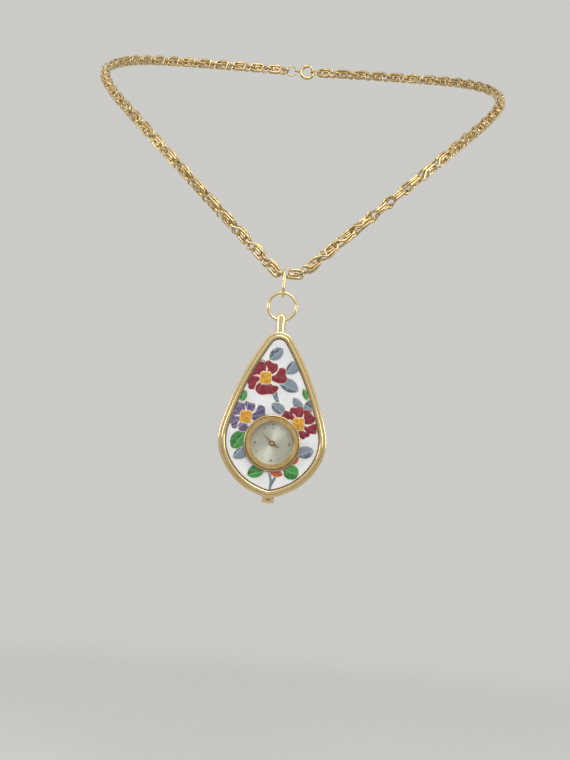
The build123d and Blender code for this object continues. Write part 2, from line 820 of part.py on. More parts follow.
def stem_plane(distance):
    """A sketch plane across the setting stem, facing outward, at a distance from the watch's centre."""
    return Plane(origin=(distance, head_y + stem_y, head_z), x_dir=(0, 1, 0), z_dir=(1, 0, 0))


with BuildPart() as cup:
    with BuildSketch(front_plane(enamel_front + cup_depth)):
        Circle(cup_radius)
        Circle(cup_inner, mode=Mode.SUBTRACT)
    extrude(amount=cup_depth)
    with BuildSketch(front_plane(plate_back + flange_thickness)):
        Circle(cup_radius + flange_width)
        Circle(cup_inner, mode=Mode.SUBTRACT)
    extrude(amount=flange_thickness)
    with BuildSketch(stem_plane(cup_radius - overrun)):
        Circle(stem_radius + fit)
    extrude(amount=2 * overrun, mode=Mode.SUBTRACT)
cup.part.label = "movement_cup"
export_step(cup.part, "parts/movement_cup.step")

# Dial, markers and hands

hour_pipe_bore = cannon_pipe_radius + fit
hour_pipe_radius = hour_pipe_bore + hour_pipe_wall

with BuildPart() as dial:
    with BuildSketch(front_plane(dial_back)):
        Circle(dial_diameter / 2)
        Circle(hour_pipe_radius + fit, mode=Mode.SUBTRACT)
    extrude(amount=dial_thickness)
dial.part.label = "dial"
export_step(dial.part, "parts/dial.step")

with BuildPart() as hour_markers:
    with BuildSketch(front_plane(dial_front)):
        for angle in (0, 90, 180):
            with Locations(spread(marker_ring_radius, -angle)):
                Rectangle(marker_size, marker_size)
        for step in (-1, 1):
            with Locations((0, marker_ring_radius + step * marker_size * corner_share)):
                Rectangle(marker_size, marker_size / 2)
    extrude(amount=marker_height)
hour_markers.part.label = "hour_markers"
export_step(hour_markers.part, "parts/hour_markers.step")

with BuildPart() as hour_studs:
    with BuildSketch(front_plane(dial_front)):
        for hour in range(12):
            if hour % 3:
                with Locations(spread(marker_ring_radius, hour * 30)):
                    Circle(stud_diameter / 2)
    extrude(amount=marker_height)
hour_studs.part.label = "hour_studs"
export_step(hour_studs.part, "parts/hour_studs.step")


def hand(angle, length, width, hub, bore, depth):
    """A lance-shaped hand that points at a clockwise angle from twelve."""
    direction = 90 - angle
    with BuildPart() as piece:
        with BuildSketch(front_plane(depth)):
            with BuildLine():
                Polyline(
                    spread(length, direction),
                    spread(width / 2, direction + 90),
                    spread(hand_tail, direction + 180),
                    spread(width / 2, direction - 90),
                    close=True,
                )
            make_face()
            Circle(hub)
            Circle(bore, mode=Mode.SUBTRACT)
        extrude(amount=hand_thickness)
    return piece.part


hour_hand_back = dial_front - hour_hand_lift
minute_hand_back = dial_front - minute_hand_lift

hour_hand = hand(hour_hand_angle, hour_hand_length, hour_hand_width, hub_radius, hour_pipe_radius, hour_hand_back)
hour_hand.label = "hour_hand"
export_step(hour_hand, "parts/hour_hand.step")

minute_hand = hand(minute_hand_angle, minute_hand_length, minute_hand_width, minute_hub_radius,
                   cannon_pipe_radius, minute_hand_back)
minute_hand.label = "minute_hand"
export_step(minute_hand, "parts/minute_hand.step")

# Gears: the motion work under the dial and the train behind the main plate

hour_gear_back = dial_back + gear_gap + gear_thickness
cannon_gear_back = hour_gear_back + gear_gap + gear_thickness
centre_gear_back = main_plate_back + gear_gap + gear_thickness
rotor_gear_back = centre_gear_back + gear_gap + gear_thickness
coil_y = main_plate_back + coil_radius + gear_gap
stator_front = coil_y + core_thickness / 2
bridge_front = main_plate_back + pillar_height
bridge_back = bridge_front + bridge_thickness
motion_reach = (cannon_teeth + minute_teeth) * motion_module / 2
hour_module = 2 * motion_reach / (minute_pinion_teeth + hour_teeth)
minute_wheel_place = Vector(*spread(motion_reach, minute_wheel_angle))
train_reach = (centre_teeth + intermediate_pinion_teeth) * train_module / 2
intermediate_place = Vector(*spread(train_reach, intermediate_angle))
rotor_reach = (intermediate_teeth + rotor_teeth) * rotor_module / 2
rotor_place = intermediate_place + Vector(*spread(rotor_reach, rotor_angle))


def gear_face(place, teeth, module, turn):
    """A gear's outline about a place, with one tooth pointing at the angle turn."""
    inside, outside = tooth_height_shares
    root_share, pitch_share, tip_share = tooth_width_shares
    pitch_radius = teeth * module / 2
    pitch = 360 / teeth
    points = []
    for tooth in range(teeth):
        middle = turn + tooth * pitch
        for radius, width_share in (
            (pitch_radius - inside * module, -root_share),
            (pitch_radius, -pitch_share),
            (pitch_radius + outside * module, -tip_share),
            (pitch_radius + outside * module, tip_share),
            (pitch_radius, pitch_share),
            (pitch_radius - inside * module, root_share),
        ):
            points.append(place + Vector(*spread(radius, middle + width_share * pitch)))
    with BuildSketch(Plane.XY, mode=Mode.PRIVATE) as face:
        with BuildLine():
            Polyline(*points, close=True)
        make_face()
    return face.sketch


def meshed(angle, turn, teeth, other_teeth):
    """The turn that puts a gap of the second gear on the line of centres where the first has a given phase."""
    phase = ((angle - turn) * teeth / 360) % 1
    return angle + 180 - (0.5 - phase) * 360 / other_teeth


with BuildPart() as hour_wheel:
    with BuildSketch(front_plane(hour_gear_back)):
        add(gear_face(Vector(0, 0), hour_teeth, hour_module, 0))
        Circle(hour_pipe_bore, mode=Mode.SUBTRACT)
    extrude(amount=gear_thickness)
    with BuildSketch(front_plane(hour_gear_back)):
        Circle(hour_pipe_radius)
        Circle(hour_pipe_bore, mode=Mode.SUBTRACT)
    extrude(amount=hour_gear_back - hour_hand_back + hand_thickness)
hour_wheel.part.label = "hour_wheel"
export_step(hour_wheel.part, "parts/hour_wheel.step")

with BuildPart() as cannon_pinion:
    with BuildSketch(front_plane(cannon_gear_back)):
        add(gear_face(Vector(0, 0), cannon_teeth, motion_module, 0))
        Circle(arbor_radius, mode=Mode.SUBTRACT)
    extrude(amount=gear_thickness)
    with BuildSketch(front_plane(cannon_gear_back)):
        Circle(cannon_pipe_radius)
        Circle(arbor_radius, mode=Mode.SUBTRACT)
    extrude(amount=cannon_gear_back - minute_hand_back + hand_thickness)
cannon_pinion.part.label = "cannon_pinion"
export_step(cannon_pinion.part, "parts/cannon_pinion.step")

with BuildPart() as minute_wheel:
    with BuildSketch(front_plane(cannon_gear_back)):
        add(gear_face(minute_wheel_place, minute_teeth, motion_module,
                      meshed(minute_wheel_angle, 0, cannon_teeth, minute_teeth)))
    extrude(amount=gear_thickness)
    with BuildSketch(front_plane(hour_gear_back)):
        add(gear_face(minute_wheel_place, minute_pinion_teeth, hour_module,
                      meshed(minute_wheel_angle, 0, hour_teeth, minute_pinion_teeth)))
    extrude(amount=gear_thickness)
    with BuildSketch(front_plane(main_plate_front + pivot_depth)):
        with Locations(minute_wheel_place):
            Circle(arbor_radius)
    extrude(amount=main_plate_front + pivot_depth - hour_gear_back)
minute_wheel.part.label = "minute_wheel"
export_step(minute_wheel.part, "parts/minute_wheel.step")

with BuildPart() as centre_wheel:
    with BuildSketch(front_plane(centre_gear_back)):
        add(gear_face(Vector(0, 0), centre_teeth, train_module, 0))
    extrude(amount=gear_thickness)
    with BuildSketch(front_plane(bridge_front + pivot_depth)):
        Circle(arbor_radius)
    extrude(amount=bridge_front + pivot_depth - minute_hand_back + hand_thickness)
centre_wheel.part.label = "centre_wheel"
export_step(centre_wheel.part, "parts/centre_wheel.step")

intermediate_turn = meshed(intermediate_angle, 0, centre_teeth, intermediate_pinion_teeth)
with BuildPart() as intermediate_wheel:
    with BuildSketch(front_plane(centre_gear_back)):
        add(gear_face(intermediate_place, intermediate_pinion_teeth, train_module, intermediate_turn))
    extrude(amount=gear_thickness)
    with BuildSketch(front_plane(rotor_gear_back)):
        add(gear_face(intermediate_place, intermediate_teeth, rotor_module, intermediate_turn))
    extrude(amount=gear_thickness)
    with BuildSketch(front_plane(bridge_front + pivot_depth)):
        with Locations(intermediate_place):
            Circle(arbor_radius)
    extrude(amount=bridge_front - main_plate_back + 2 * pivot_depth)
intermediate_wheel.part.label = "intermediate_wheel"
export_step(intermediate_wheel.part, "parts/intermediate_wheel.step")

with BuildPart() as rotor:
    with BuildSketch(front_plane(rotor_gear_back)):
        add(gear_face(rotor_place, rotor_teeth, rotor_module,
                      meshed(rotor_angle, intermediate_turn, intermediate_teeth, rotor_teeth)))
    extrude(amount=gear_thickness)
    with BuildSketch(front_plane(bridge_front + pivot_depth)):
        with Locations(rotor_place):
            Circle(arbor_radius)
    extrude(amount=bridge_front - main_plate_back + 2 * pivot_depth)
    with BuildSketch(front_plane(stator_front - (magnet_height - core_thickness) / 2 + magnet_height)):
        with Locations(rotor_place):
            Circle(magnet_radius)
    extrude(amount=magnet_height)
rotor.part.label = "rotor"
export_step(rotor.part, "parts/rotor.step")

# Plates, coil and electrics

screw_places = [Vector(*spread(screw_distance, angle)) for angle in screw_angles]
bridge_screw, board_screw, strap_screw = screw_places
board_back = bridge_front + board_thickness
battery_front = centre_gear_back + gear_gap
battery_place = Vector(*spread(battery_distance, battery_angle))
strap_front = max(battery_front + battery_height, board_back)
strap_back = strap_front + strap_thickness

with BuildPart() as main_plate:
    with BuildSketch(front_plane(main_plate_back)):
        Circle(plate_diameter / 2)
        Circle(arbor_radius + fit, mode=Mode.SUBTRACT)
    extrude(amount=main_plate_thickness)
    with BuildSketch(front_plane(bridge_front)):
        with Locations(*screw_places):
            Circle(pillar_radius)
    extrude(amount=pillar_height)
    with BuildSketch(front_plane(bridge_front)):
        with Locations(*screw_places):
            Circle(screw_radius)
    extrude(amount=screw_length, mode=Mode.SUBTRACT)
    with BuildSketch(front_plane(main_plate_front + pivot_depth)):
        with Locations(minute_wheel_place):
            Circle(arbor_radius + fit)
    extrude(amount=pivot_depth, mode=Mode.SUBTRACT)
    with BuildSketch(front_plane(main_plate_back)):
        with Locations(intermediate_place, rotor_place):
            Circle(arbor_radius + fit)
    extrude(amount=pivot_depth + fit, mode=Mode.SUBTRACT)
main_plate.part.label = "main_plate"
export_step(main_plate.part, "parts/main_plate.step")

with BuildPart() as holder:
    with BuildSketch(front_plane(dial_back + holder_depth)):
        Circle(plate_diameter / 2 + holder_wall + fit)
        Circle(plate_diameter / 2 + fit, mode=Mode.SUBTRACT)
    extrude(amount=holder_depth)
    with BuildSketch(stem_plane(cup_inner - overrun)):
        Circle(stem_radius + fit)
    extrude(amount=2 * overrun, mode=Mode.SUBTRACT)
holder.part.label = "movement_holder"
export_step(holder.part, "parts/movement_holder.step")

with BuildPart() as train_bridge:
    with BuildSketch(front_plane(bridge_back)):
        with BuildLine(Plane.XY) as bridge_line:
            Polyline(bridge_screw, intermediate_place, rotor_place)
        trace(bridge_line.line, bridge_width)
        with BuildLine(Plane.XY) as centre_line:
            Line(intermediate_place, (0, 0))
        trace(centre_line.line, bridge_width)
        Circle(bridge_width / 2)
        with Locations(bridge_screw):
            Circle(screw_radius, mode=Mode.SUBTRACT)
        with Locations((0, 0), intermediate_place, rotor_place):
            Circle(arbor_radius + fit, mode=Mode.SUBTRACT)
    extrude(amount=bridge_thickness)
    with BuildSketch(front_plane(bridge_back)):
        Circle(plate_diameter / 2)
    extrude(amount=bridge_thickness, mode=Mode.INTERSECT)
train_bridge.part.label = "train_bridge"
export_step(train_bridge.part, "parts/train_bridge.step")

coil_place = Vector(*spread(coil_distance, coil_angle))
coil_along = Vector(*spread(1, coil_angle + 90))
core_reach = coil_length / 2 + core_overhang


def lying_plane(place, along, start, depth):
    """A sketch plane across a part that lies along a direction, at its start."""
    origin = place + along * start
    return Plane(origin=(origin.X, head_y + depth, head_z + origin.Y), x_dir=(0, 1, 0), z_dir=(along.X, 0, along.Y))


with BuildPart() as coil:
    with BuildSketch(lying_plane(coil_place, coil_along, -coil_length / 2, coil_y)):
        Circle(coil_radius)
        Rectangle(core_thickness, core_width, mode=Mode.SUBTRACT)
    extrude(amount=coil_length)
coil.part.label = "coil"
export_step(coil.part, "parts/coil.step")

with BuildPart() as coil_core:
    with BuildSketch(lying_plane(coil_place, coil_along, -core_reach, coil_y)):
        Rectangle(core_thickness, core_width)
    extrude(amount=2 * core_reach)
coil_core.part.label = "coil_core"
export_step(coil_core.part, "parts/coil_core.step")

stator_ends = [coil_place + coil_along * (side * (core_reach - core_overhang / 4)) for side in (1, -1)]
stator_bends = [Vector(x * plate_diameter / 2, z * plate_diameter / 2) for x, z in stator_shares]
with BuildPart() as stator:
    with BuildSketch(front_plane(stator_front + core_thickness)):
        with BuildLine(Plane.XY) as stator_line:
            Polyline(stator_ends[0], rotor_place, *stator_bends, stator_ends[1])
        trace(stator_line.line, stator_width)
        with Locations(rotor_place):
            Circle(magnet_radius + magnet_gap + stator_pad)
            Circle(magnet_radius + magnet_gap, mode=Mode.SUBTRACT)
    extrude(amount=core_thickness)
stator.part.label = "stator"
export_step(stator.part, "parts/stator.step")

with BuildPart() as battery:
    with BuildSketch(front_plane(battery_front + battery_height)):
        with Locations(battery_place):
            Circle(battery_diameter / 2)
    extrude(amount=battery_height)
battery.part.label = "battery"
export_step(battery.part, "parts/battery.step")

with BuildPart() as strap:
    with BuildSketch(front_plane(strap_back)):
        with BuildLine(Plane.XY) as strap_line:
            Line(strap_screw, battery_place)
        trace(strap_line.line, strap_width)
        with Locations(strap_screw, battery_place):
            Circle(strap_width / 2)
        with Locations(strap_screw):
            Circle(screw_radius, mode=Mode.SUBTRACT)
        Circle(plate_diameter / 2, mode=Mode.INTERSECT)
    extrude(amount=strap_thickness)
strap.part.label = "battery_strap"
export_step(strap.part, "parts/battery_strap.step")

can_place = Vector(*spread(can_distance, can_angle))
can_along = Vector(*spread(1, can_angle + 90))
with BuildPart() as circuit_board:
    with BuildSketch(front_plane(board_back)):
        with BuildLine(Plane.XY) as board_line:
            Polyline(board_screw, can_place + can_place.normalized() * can_radius, strap_screw)
        trace(board_line.line, board_width)
        with Locations(board_screw, strap_screw):
            Circle(board_width / 2)
        with Locations(board_screw, strap_screw):
            Circle(screw_radius, mode=Mode.SUBTRACT)
        Circle(plate_diameter / 2, mode=Mode.INTERSECT)
    extrude(amount=board_thickness)
circuit_board.part.label = "circuit_board"
export_step(circuit_board.part, "parts/circuit_board.step")

with BuildPart() as quartz_can:
    with BuildSketch(lying_plane(can_place, can_along, -can_length / 2, bridge_front - can_radius)):
        Circle(can_radius)
    extrude(amount=can_length)
quartz_can.part.label = "quartz_can"
export_step(quartz_can.part, "parts/quartz_can.step")

with BuildPart() as plate_screws:
    for place, head_seat in ((bridge_screw, bridge_back), (board_screw, board_back), (strap_screw, strap_back)):
        with BuildSketch(front_plane(head_seat + screw_head_height)):
            with Locations(place):
                Circle(screw_head_radius)
        extrude(amount=screw_head_height)
        with BuildSketch(front_plane(head_seat)):
            with Locations(place):
                Circle(screw_radius)
        extrude(amount=head_seat - bridge_front + screw_length)
        with BuildSketch(front_plane(head_seat + screw_head_height)):
            with Locations(place):
                Rectangle(2 * screw_head_radius, screw_radius / 2)
        extrude(amount=screw_head_height / 2, mode=Mode.SUBTRACT)
plate_screws.part.label = "plate_screws"
export_step(plate_screws.part, "parts/plate_screws.step")

# Setting stem, its lever and the crown inside the case

lever_start = stem_inner_end + lever_thickness
crown_start = cup_radius + crown_gap

with BuildPart() as setting_stem:
    with BuildSketch(stem_plane(stem_inner_end)):
        Circle(stem_radius)
    extrude(amount=crown_start - stem_inner_end)
    with BuildSketch(stem_plane(lever_start - fit)):
        Circle(stem_radius)
        Circle(groove_radius, mode=Mode.SUBTRACT)
    extrude(amount=lever_thickness + 2 * fit, mode=Mode.SUBTRACT)
setting_stem.part.label = "setting_stem"
export_step(setting_stem.part, "parts/setting_stem.step")

with BuildPart() as setting_lever:
    with BuildSketch(stem_plane(lever_start)):
        with Locations((0, -lever_length / 2 + lever_width / 2)):
            Rectangle(lever_width, lever_length)
        Circle(groove_radius + fit / 2, mode=Mode.SUBTRACT)
    extrude(amount=lever_thickness)
setting_lever.part.label = "setting_lever"
export_step(setting_lever.part, "parts/setting_lever.step")

with BuildPart() as crown:
    with BuildSketch(stem_plane(crown_start)):
        Circle(crown_radius)
        with PolarLocations(crown_radius, crown_grooves):
            Circle(crown_groove_radius, mode=Mode.SUBTRACT)
    extrude(amount=crown_length)
    fillet(crown.faces().sort_by(Axis.X)[-1].edges(), crown_groove_radius / 2)
crown.part.label = "crown"
export_step(crown.part, "parts/crown.step")

# Clasp behind the neck: a spring ring between two end rings

clasp_start = arm_point(links_a_side, -1)
clasp_centre = clasp_start + Vector(clasp_x, 0, 0)
clasp_axis = Axis(clasp_centre, (0, -1, 0))


def end_ring(centre, radius, axis_direction, name):
    """A closed wire ring about an axis direction, soldered shut."""
    with BuildPart() as ring:
        with BuildSketch(Plane(origin=centre + Vector(radius, 0, 0), x_dir=(1, 0, 0),
                               z_dir=Vector(*axis_direction).cross(Vector(1, 0, 0)))):
            Circle(end_ring_wire / 2)
        revolve(axis=Axis(centre, axis_direction))
    ring.part.label = name
    return ring.part


left_end_ring = end_ring(clasp_start + Vector(left_ring_x, 0, 0), end_ring_radius, (0, 1, 0), "left_end_ring")
export_step(left_end_ring, "parts/left_end_ring.step")
right_end_ring = end_ring(clasp_start + Vector(right_ring_x, 0, 0), end_ring_radius, (0, 0, 1), "right_end_ring")
export_step(right_end_ring, "parts/right_end_ring.step")
clasp_eye = end_ring(clasp_start + Vector(eye_x, 0, 0), clasp_eye_radius, (0, 0, 1), "clasp_eye")


def clasp_section(angle):
    """A plane across the clasp's tube at an angle round it."""
    x, z = spread(1, angle)
    return Plane(origin=clasp_centre + Vector(x, 0, z) * clasp_radius, x_dir=(x, 0, z), z_dir=(-z, 0, x))


gap_start = clasp_gap_angle - clasp_gap_degrees / 2
gap_end = clasp_gap_angle + clasp_gap_degrees / 2
thumb_angle = gap_end - degrees(thumb_radius / clasp_radius) / 2
with BuildPart() as clasp_body:
    with BuildSketch(clasp_section(gap_end)):
        Circle(clasp_tube / 2)
    revolve(axis=clasp_axis, revolution_arc=360 - clasp_gap_degrees)
    add(clasp_eye)
    with BuildSketch(clasp_section(gap_end)):
        Circle(clasp_bore / 2)
    revolve(axis=clasp_axis, revolution_arc=clasp_bore_degrees, mode=Mode.SUBTRACT)
    with BuildSketch(clasp_section(gap_start - clasp_socket_degrees)):
        Circle(clasp_bore / 2)
    revolve(axis=clasp_axis, revolution_arc=clasp_socket_degrees, mode=Mode.SUBTRACT)
    with BuildSketch(clasp_section(gap_end)):
        with Locations((clasp_tube / 2, 0)):
            Rectangle(clasp_tube, slot_width)
    revolve(axis=clasp_axis, revolution_arc=tongue_travel_degrees + tongue_overlap_degrees, mode=Mode.SUBTRACT)
clasp_body.part.label = "clasp_body"
export_step(clasp_body.part, "parts/clasp_body.step")

with BuildPart() as clasp_tongue:
    with BuildSketch(clasp_section(gap_start - tongue_overlap_degrees)):
        Circle(clasp_bore / 2 - fit)
    revolve(axis=clasp_axis, revolution_arc=clasp_gap_degrees + 2 * tongue_overlap_degrees)
    thumb_x, thumb_z = spread(1, thumb_angle)
    with BuildSketch(Plane(origin=clasp_centre + Vector(thumb_x, 0, thumb_z) * clasp_radius,
                           x_dir=(0, 1, 0), z_dir=(thumb_x, 0, thumb_z))):
        Circle(thumb_radius)
    extrude(amount=clasp_tube / 2 + thumb_height)
clasp_tongue.part.label = "clasp_tongue"
export_step(clasp_tongue.part, "parts/clasp_tongue.step")

spring_start = gap_end + clasp_bore_degrees - clasp_spring_degrees
with BuildPart() as clasp_spring:
    with BuildSketch(clasp_section(spring_start)):
        Circle(clasp_spring_wire_ring / 2)
    revolve(axis=clasp_axis, revolution_arc=clasp_spring_degrees)
clasp_spring.part.label = "clasp_spring"
export_step(clasp_spring.part, "parts/clasp_spring.step")
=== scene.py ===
# %% [markdown]
# # A pendant watch on its chain, dressed for the camera
# The metal of the watch comes in finished: every link, ring and wheel is already a solid in its
# place. This lesson gives those solids their finishes, and adds what a goldsmith and an enameller
# add by hand: the glossy enamel in its cells, the wire lines round them, the folds of the chain,
# the turned ring on the bezel, and the bead line and groove of the rim. One metre is one unit, so
# a length of 3 mm is written 3 * MM.

# %% Load the frame
from math import atan2, cos, pi, radians, sin

import bmesh
import bpy
from mathutils import Matrix, Vector
from mathutils.kdtree import KDTree


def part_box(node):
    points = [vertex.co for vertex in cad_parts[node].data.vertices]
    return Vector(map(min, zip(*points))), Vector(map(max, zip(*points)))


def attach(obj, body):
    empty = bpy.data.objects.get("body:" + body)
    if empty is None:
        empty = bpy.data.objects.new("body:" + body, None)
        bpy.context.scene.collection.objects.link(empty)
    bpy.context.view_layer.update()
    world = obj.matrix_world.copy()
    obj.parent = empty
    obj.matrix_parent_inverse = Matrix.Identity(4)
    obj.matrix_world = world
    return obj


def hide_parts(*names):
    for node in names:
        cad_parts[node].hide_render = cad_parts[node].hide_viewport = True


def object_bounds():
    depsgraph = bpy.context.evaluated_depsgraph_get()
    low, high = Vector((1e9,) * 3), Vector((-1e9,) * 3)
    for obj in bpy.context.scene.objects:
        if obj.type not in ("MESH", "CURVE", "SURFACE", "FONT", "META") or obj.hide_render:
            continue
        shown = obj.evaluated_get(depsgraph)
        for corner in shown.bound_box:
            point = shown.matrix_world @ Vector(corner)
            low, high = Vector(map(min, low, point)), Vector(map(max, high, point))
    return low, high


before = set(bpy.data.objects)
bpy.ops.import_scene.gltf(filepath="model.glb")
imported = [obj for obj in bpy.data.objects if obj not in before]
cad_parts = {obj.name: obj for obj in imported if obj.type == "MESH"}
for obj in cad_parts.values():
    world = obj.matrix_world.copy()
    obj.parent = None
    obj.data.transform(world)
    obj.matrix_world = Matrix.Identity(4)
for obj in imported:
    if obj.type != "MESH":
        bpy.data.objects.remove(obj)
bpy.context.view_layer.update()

MM = 0.001

# %% [markdown]
# ## Where the viewer stands
# The photograph looks straight at the dial from slightly below, and the camera was held a little
# askew, so that the watch seems to lean to the right. The watch hangs plumb here, and the camera
# is rolled.

# %% Camera
dial_low, dial_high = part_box("dial")
dial_centre = (Vector(dial_low) + Vector(dial_high)) / 2
view_distance = 450 * MM
view_rise = radians(-6.0)
view_roll = radians(4.2)
frame_width, frame_height = 570, 760
pixel = 0.302 * MM  # one photograph pixel, at the watch
dial_x, dial_y = 272.0, 443.4  # where the photograph shows the middle of the dial

look = Vector((0, cos(view_rise), -sin(view_rise)))
upright = look.to_track_quat("-Z", "Y").to_matrix()
rolled = upright @ Matrix.Rotation(view_roll, 3, "Z")
off_right = (frame_width / 2 - dial_x) * pixel
off_up = (dial_y - frame_height / 2) * pixel
aim = dial_centre + rolled @ Vector((off_right, off_up, 0))
camera_data = bpy.data.cameras.new("camera")
camera_data.sensor_fit = "HORIZONTAL"
camera_data.lens = camera_data.sensor_width * view_distance / (frame_width * pixel)
camera = bpy.data.objects.new("camera", camera_data)
camera.matrix_world = Matrix.Translation(aim - look * view_distance) @ rolled.to_4x4()
bpy.context.scene.collection.objects.link(camera)
bpy.context.scene.camera = camera
print("camera: lens", round(camera_data.lens, 1), "mm")

# %% [markdown]
# ## Shader maths in plain expressions
# A finish is a small sum of patterns. Writing that sum as Python keeps it readable, so a socket is
# wrapped in a class whose operators add the Math nodes for us. Every other node comes from one
# method, which serves the materials and the air around the watch alike.


# %% Socket maths
class Sum:
    """A number or colour that varies from point to point, with the usual operators."""

    def __init__(self, nodes, socket):
        self.nodes = nodes
        self.socket = socket

    def math(self, operation, *others):
        values = dict(enumerate((self, *others)))
        return self.nodes.node("ShaderNodeMath", {"operation": operation}, values)

    def __add__(self, other):
        return self.math("ADD", other)

    __radd__ = __add__

    def __mul__(self, other):
        return self.math("MULTIPLY", other)

    __rmul__ = __mul__

    def __sub__(self, other):
        return self.math("SUBTRACT", other)

    def __rsub__(self, other):
        return (self * -1) + other

    def __pow__(self, other):
        return self.math("POWER", other)

    def size(self):
        return self.math("ABSOLUTE")

    def rise(self, low, high, curve="SMOOTHSTEP"):
        """Goes from 0 at the low value to 1 at the high one, and stays level outside them."""
        values = {"Value": self, "From Min": low, "From Max": high}
        return self.nodes.node("ShaderNodeMapRange", {"interpolation_type": curve}, values)


def distance(first, second):
    """How far a point lies from where two axes cross."""
    return (first * first + second * second) ** 0.5


print("sums are ready")


# %% Node trees
def opaque(colour):
    """A colour's three numbers with full alpha, or the varying colour as it is."""
    return (*colour, 1.0) if isinstance(colour, tuple) else colour


class Nodes:
    """A node tree that is built from expressions."""

    def __init__(self, tree):
        self.tree = tree

    def put(self, socket, value):
        if isinstance(value, Sum):
            self.tree.links.new(value.socket, socket)
        else:
            socket.default_value = value

    def node(self, kind, settings=None, values=None, out=0):
        """Adds a node, sets it up, feeds its sockets and hands back one of its outputs."""
        made = self.tree.nodes.new(kind)
        for setting, value in (settings or {}).items():
            if setting == "stops":
                self.set_stops(made.color_ramp.elements, value)
            else:
                setattr(made, setting, value)
        for socket, value in (values or {}).items():
            self.put(made.inputs[socket], value)
        return Sum(self, made.outputs[out])

    def set_stops(self, elements, stops):
        while len(elements) < len(stops):
            elements.new(1.0)
        for element, (place, colour) in zip(elements, stops):
            element.position = place
            element.color = opaque(colour)

    def mix(self, factor, first, second):
        values = {0: factor, 6: opaque(first), 7: opaque(second)}
        return self.node("ShaderNodeMix", {"data_type": "RGBA"}, values, out=2)

    def split(self, vector):
        """The three parts of a vector."""
        parts = self.node("ShaderNodeSeparateXYZ", {}, {0: vector}).socket.node.outputs
        return [Sum(self, part) for part in parts]


print("node trees are ready")


# %% Materials
class Finish(Nodes):
    """A material with one shader, whose sockets are set by name."""

    def __init__(self, name, **constants):
        self.material = bpy.data.materials.new(name)
        self.material.use_nodes = True
        super().__init__(self.material.node_tree)
        self.shader = self.tree.nodes["Principled BSDF"]
        for socket, value in constants.items():
            self.set(socket.replace("_", " "), value)

    def set(self, socket, value):
        self.put(self.shader.inputs[socket], value)

    def so_far(self, socket):
        """What feeds one of the shader's sockets at the moment."""
        return Sum(self, self.shader.inputs[socket].links[0].from_socket)

    def place(self, scale=(1, 1, 1), location=(0, 0, 0)):
        """A point's place on the object, scaled and then moved."""
        where = self.node("ShaderNodeTexCoord", out="Object")
        values = {"Vector": where, "Scale": scale, "Location": location}
        return self.node("ShaderNodeMapping", {}, values)

    def axes(self, centre=(0, 0, 0)):
        """Distances along the three axes from a centre, in metres."""
        return self.split(self.place(location=tuple(-c for c in centre)))

    def noise(self, size, detail=3.0, stretch=(1, 1, 1)):
        """Cloudy noise whose patches are about so large, in metres."""
        where = self.place(scale=tuple(s / size for s in stretch))
        values = {"Vector": where, "Scale": 1.0, "Detail": detail}
        return self.node("ShaderNodeTexNoise", {}, values)

    def attribute(self, name):
        return self.node("ShaderNodeAttribute", {"attribute_name": name}, out="Fac")

    def rough(self, pattern, least, more):
        """Roughness from its least value upwards, where a pattern goes from 0 to 1."""
        self.set("Roughness", pattern * more + least)

    def bump(self, height, depth, strength):
        values = {"Height": height, "Distance": depth, "Strength": strength}
        self.set("Normal", self.node("ShaderNodeBump", {}, values))
        return self


print("materials are ready")

# %% [markdown]
# ## Gold plate
# The chain, rings and case are base metal under a bright, slightly greenish gold plate. Polished
# plate is almost a mirror, so its look comes from fine hair scratches, faint smudges that raise
# the roughness, and a browner tone where the polish has dulled. The rim is a touch paler than the
# chain.

# %% Gold finishes
pale_gold = (0.90, 0.73, 0.42)
rich_gold = (0.80, 0.60, 0.29)
bronze_gold = (0.55, 0.36, 0.14)
# painted shade: the dark brown that stands for shade in the bezel's grooves and in the rim's bead
# line and groove
painted_shade_brown = (0.10, 0.06, 0.025)
smudge_share = 0.75  # hair scratches make up the rest
wear_start, wear_end = 0.36, 0.70
wear_roughness = 0.14
scratch_depth, scratch_strength = 0.004 * MM, 0.35
scratch_stretch = (1.0, 1.0, 0.25)


def gold_plate(name, bright, dull, roughness, patch, scratch=0.20 * MM):
    """Polished plate, bright where it is rubbed and dull in patches of the given size."""
    finish = Finish(name, Metallic=1.0)
    smudge = finish.noise(patch, detail=4.0)
    fine = finish.noise(scratch, detail=2.0, stretch=scratch_stretch)
    worn = (smudge * smudge_share + fine * (1 - smudge_share)).rise(wear_start, wear_end)
    finish.set("Base Color", finish.mix(worn, bright, dull))
    finish.rough(worn, least=roughness, more=wear_roughness)
    return finish.bump(fine, scratch_depth, scratch_strength)


chain_gold = gold_plate("chain_gold", (0.80, 0.63, 0.34), (0.42, 0.29, 0.12), roughness=0.19,
                        patch=1.6 * MM, scratch=0.25 * MM)
case_gold = gold_plate("case_gold", pale_gold, rich_gold, roughness=0.12, patch=5.0 * MM)
ring_gold = gold_plate("ring_gold", pale_gold, rich_gold, roughness=0.18, patch=3.0 * MM)
wire_pale = gold_plate("wire_pale", (0.93, 0.80, 0.60), (0.72, 0.54, 0.32), roughness=0.28,
                       patch=0.8 * MM, scratch=0.10 * MM)
hand_gold = gold_plate("hand_gold", (0.42, 0.27, 0.10), (0.20, 0.13, 0.05), roughness=0.28,
                       patch=0.8 * MM, scratch=0.10 * MM)
# painted shade: a dark brown gold for the rim's bead line and the wire in its groove
painted_shade_gold = gold_plate("painted_shade_gold", (0.30, 0.19, 0.08), painted_shade_brown, roughness=0.22,
                       patch=0.8 * MM, scratch=0.10 * MM)
movement_gold = gold_plate("movement_gold", pale_gold, rich_gold, roughness=0.34,
                           patch=1.5 * MM, scratch=0.08 * MM)
print("plain gold finishes: 7")
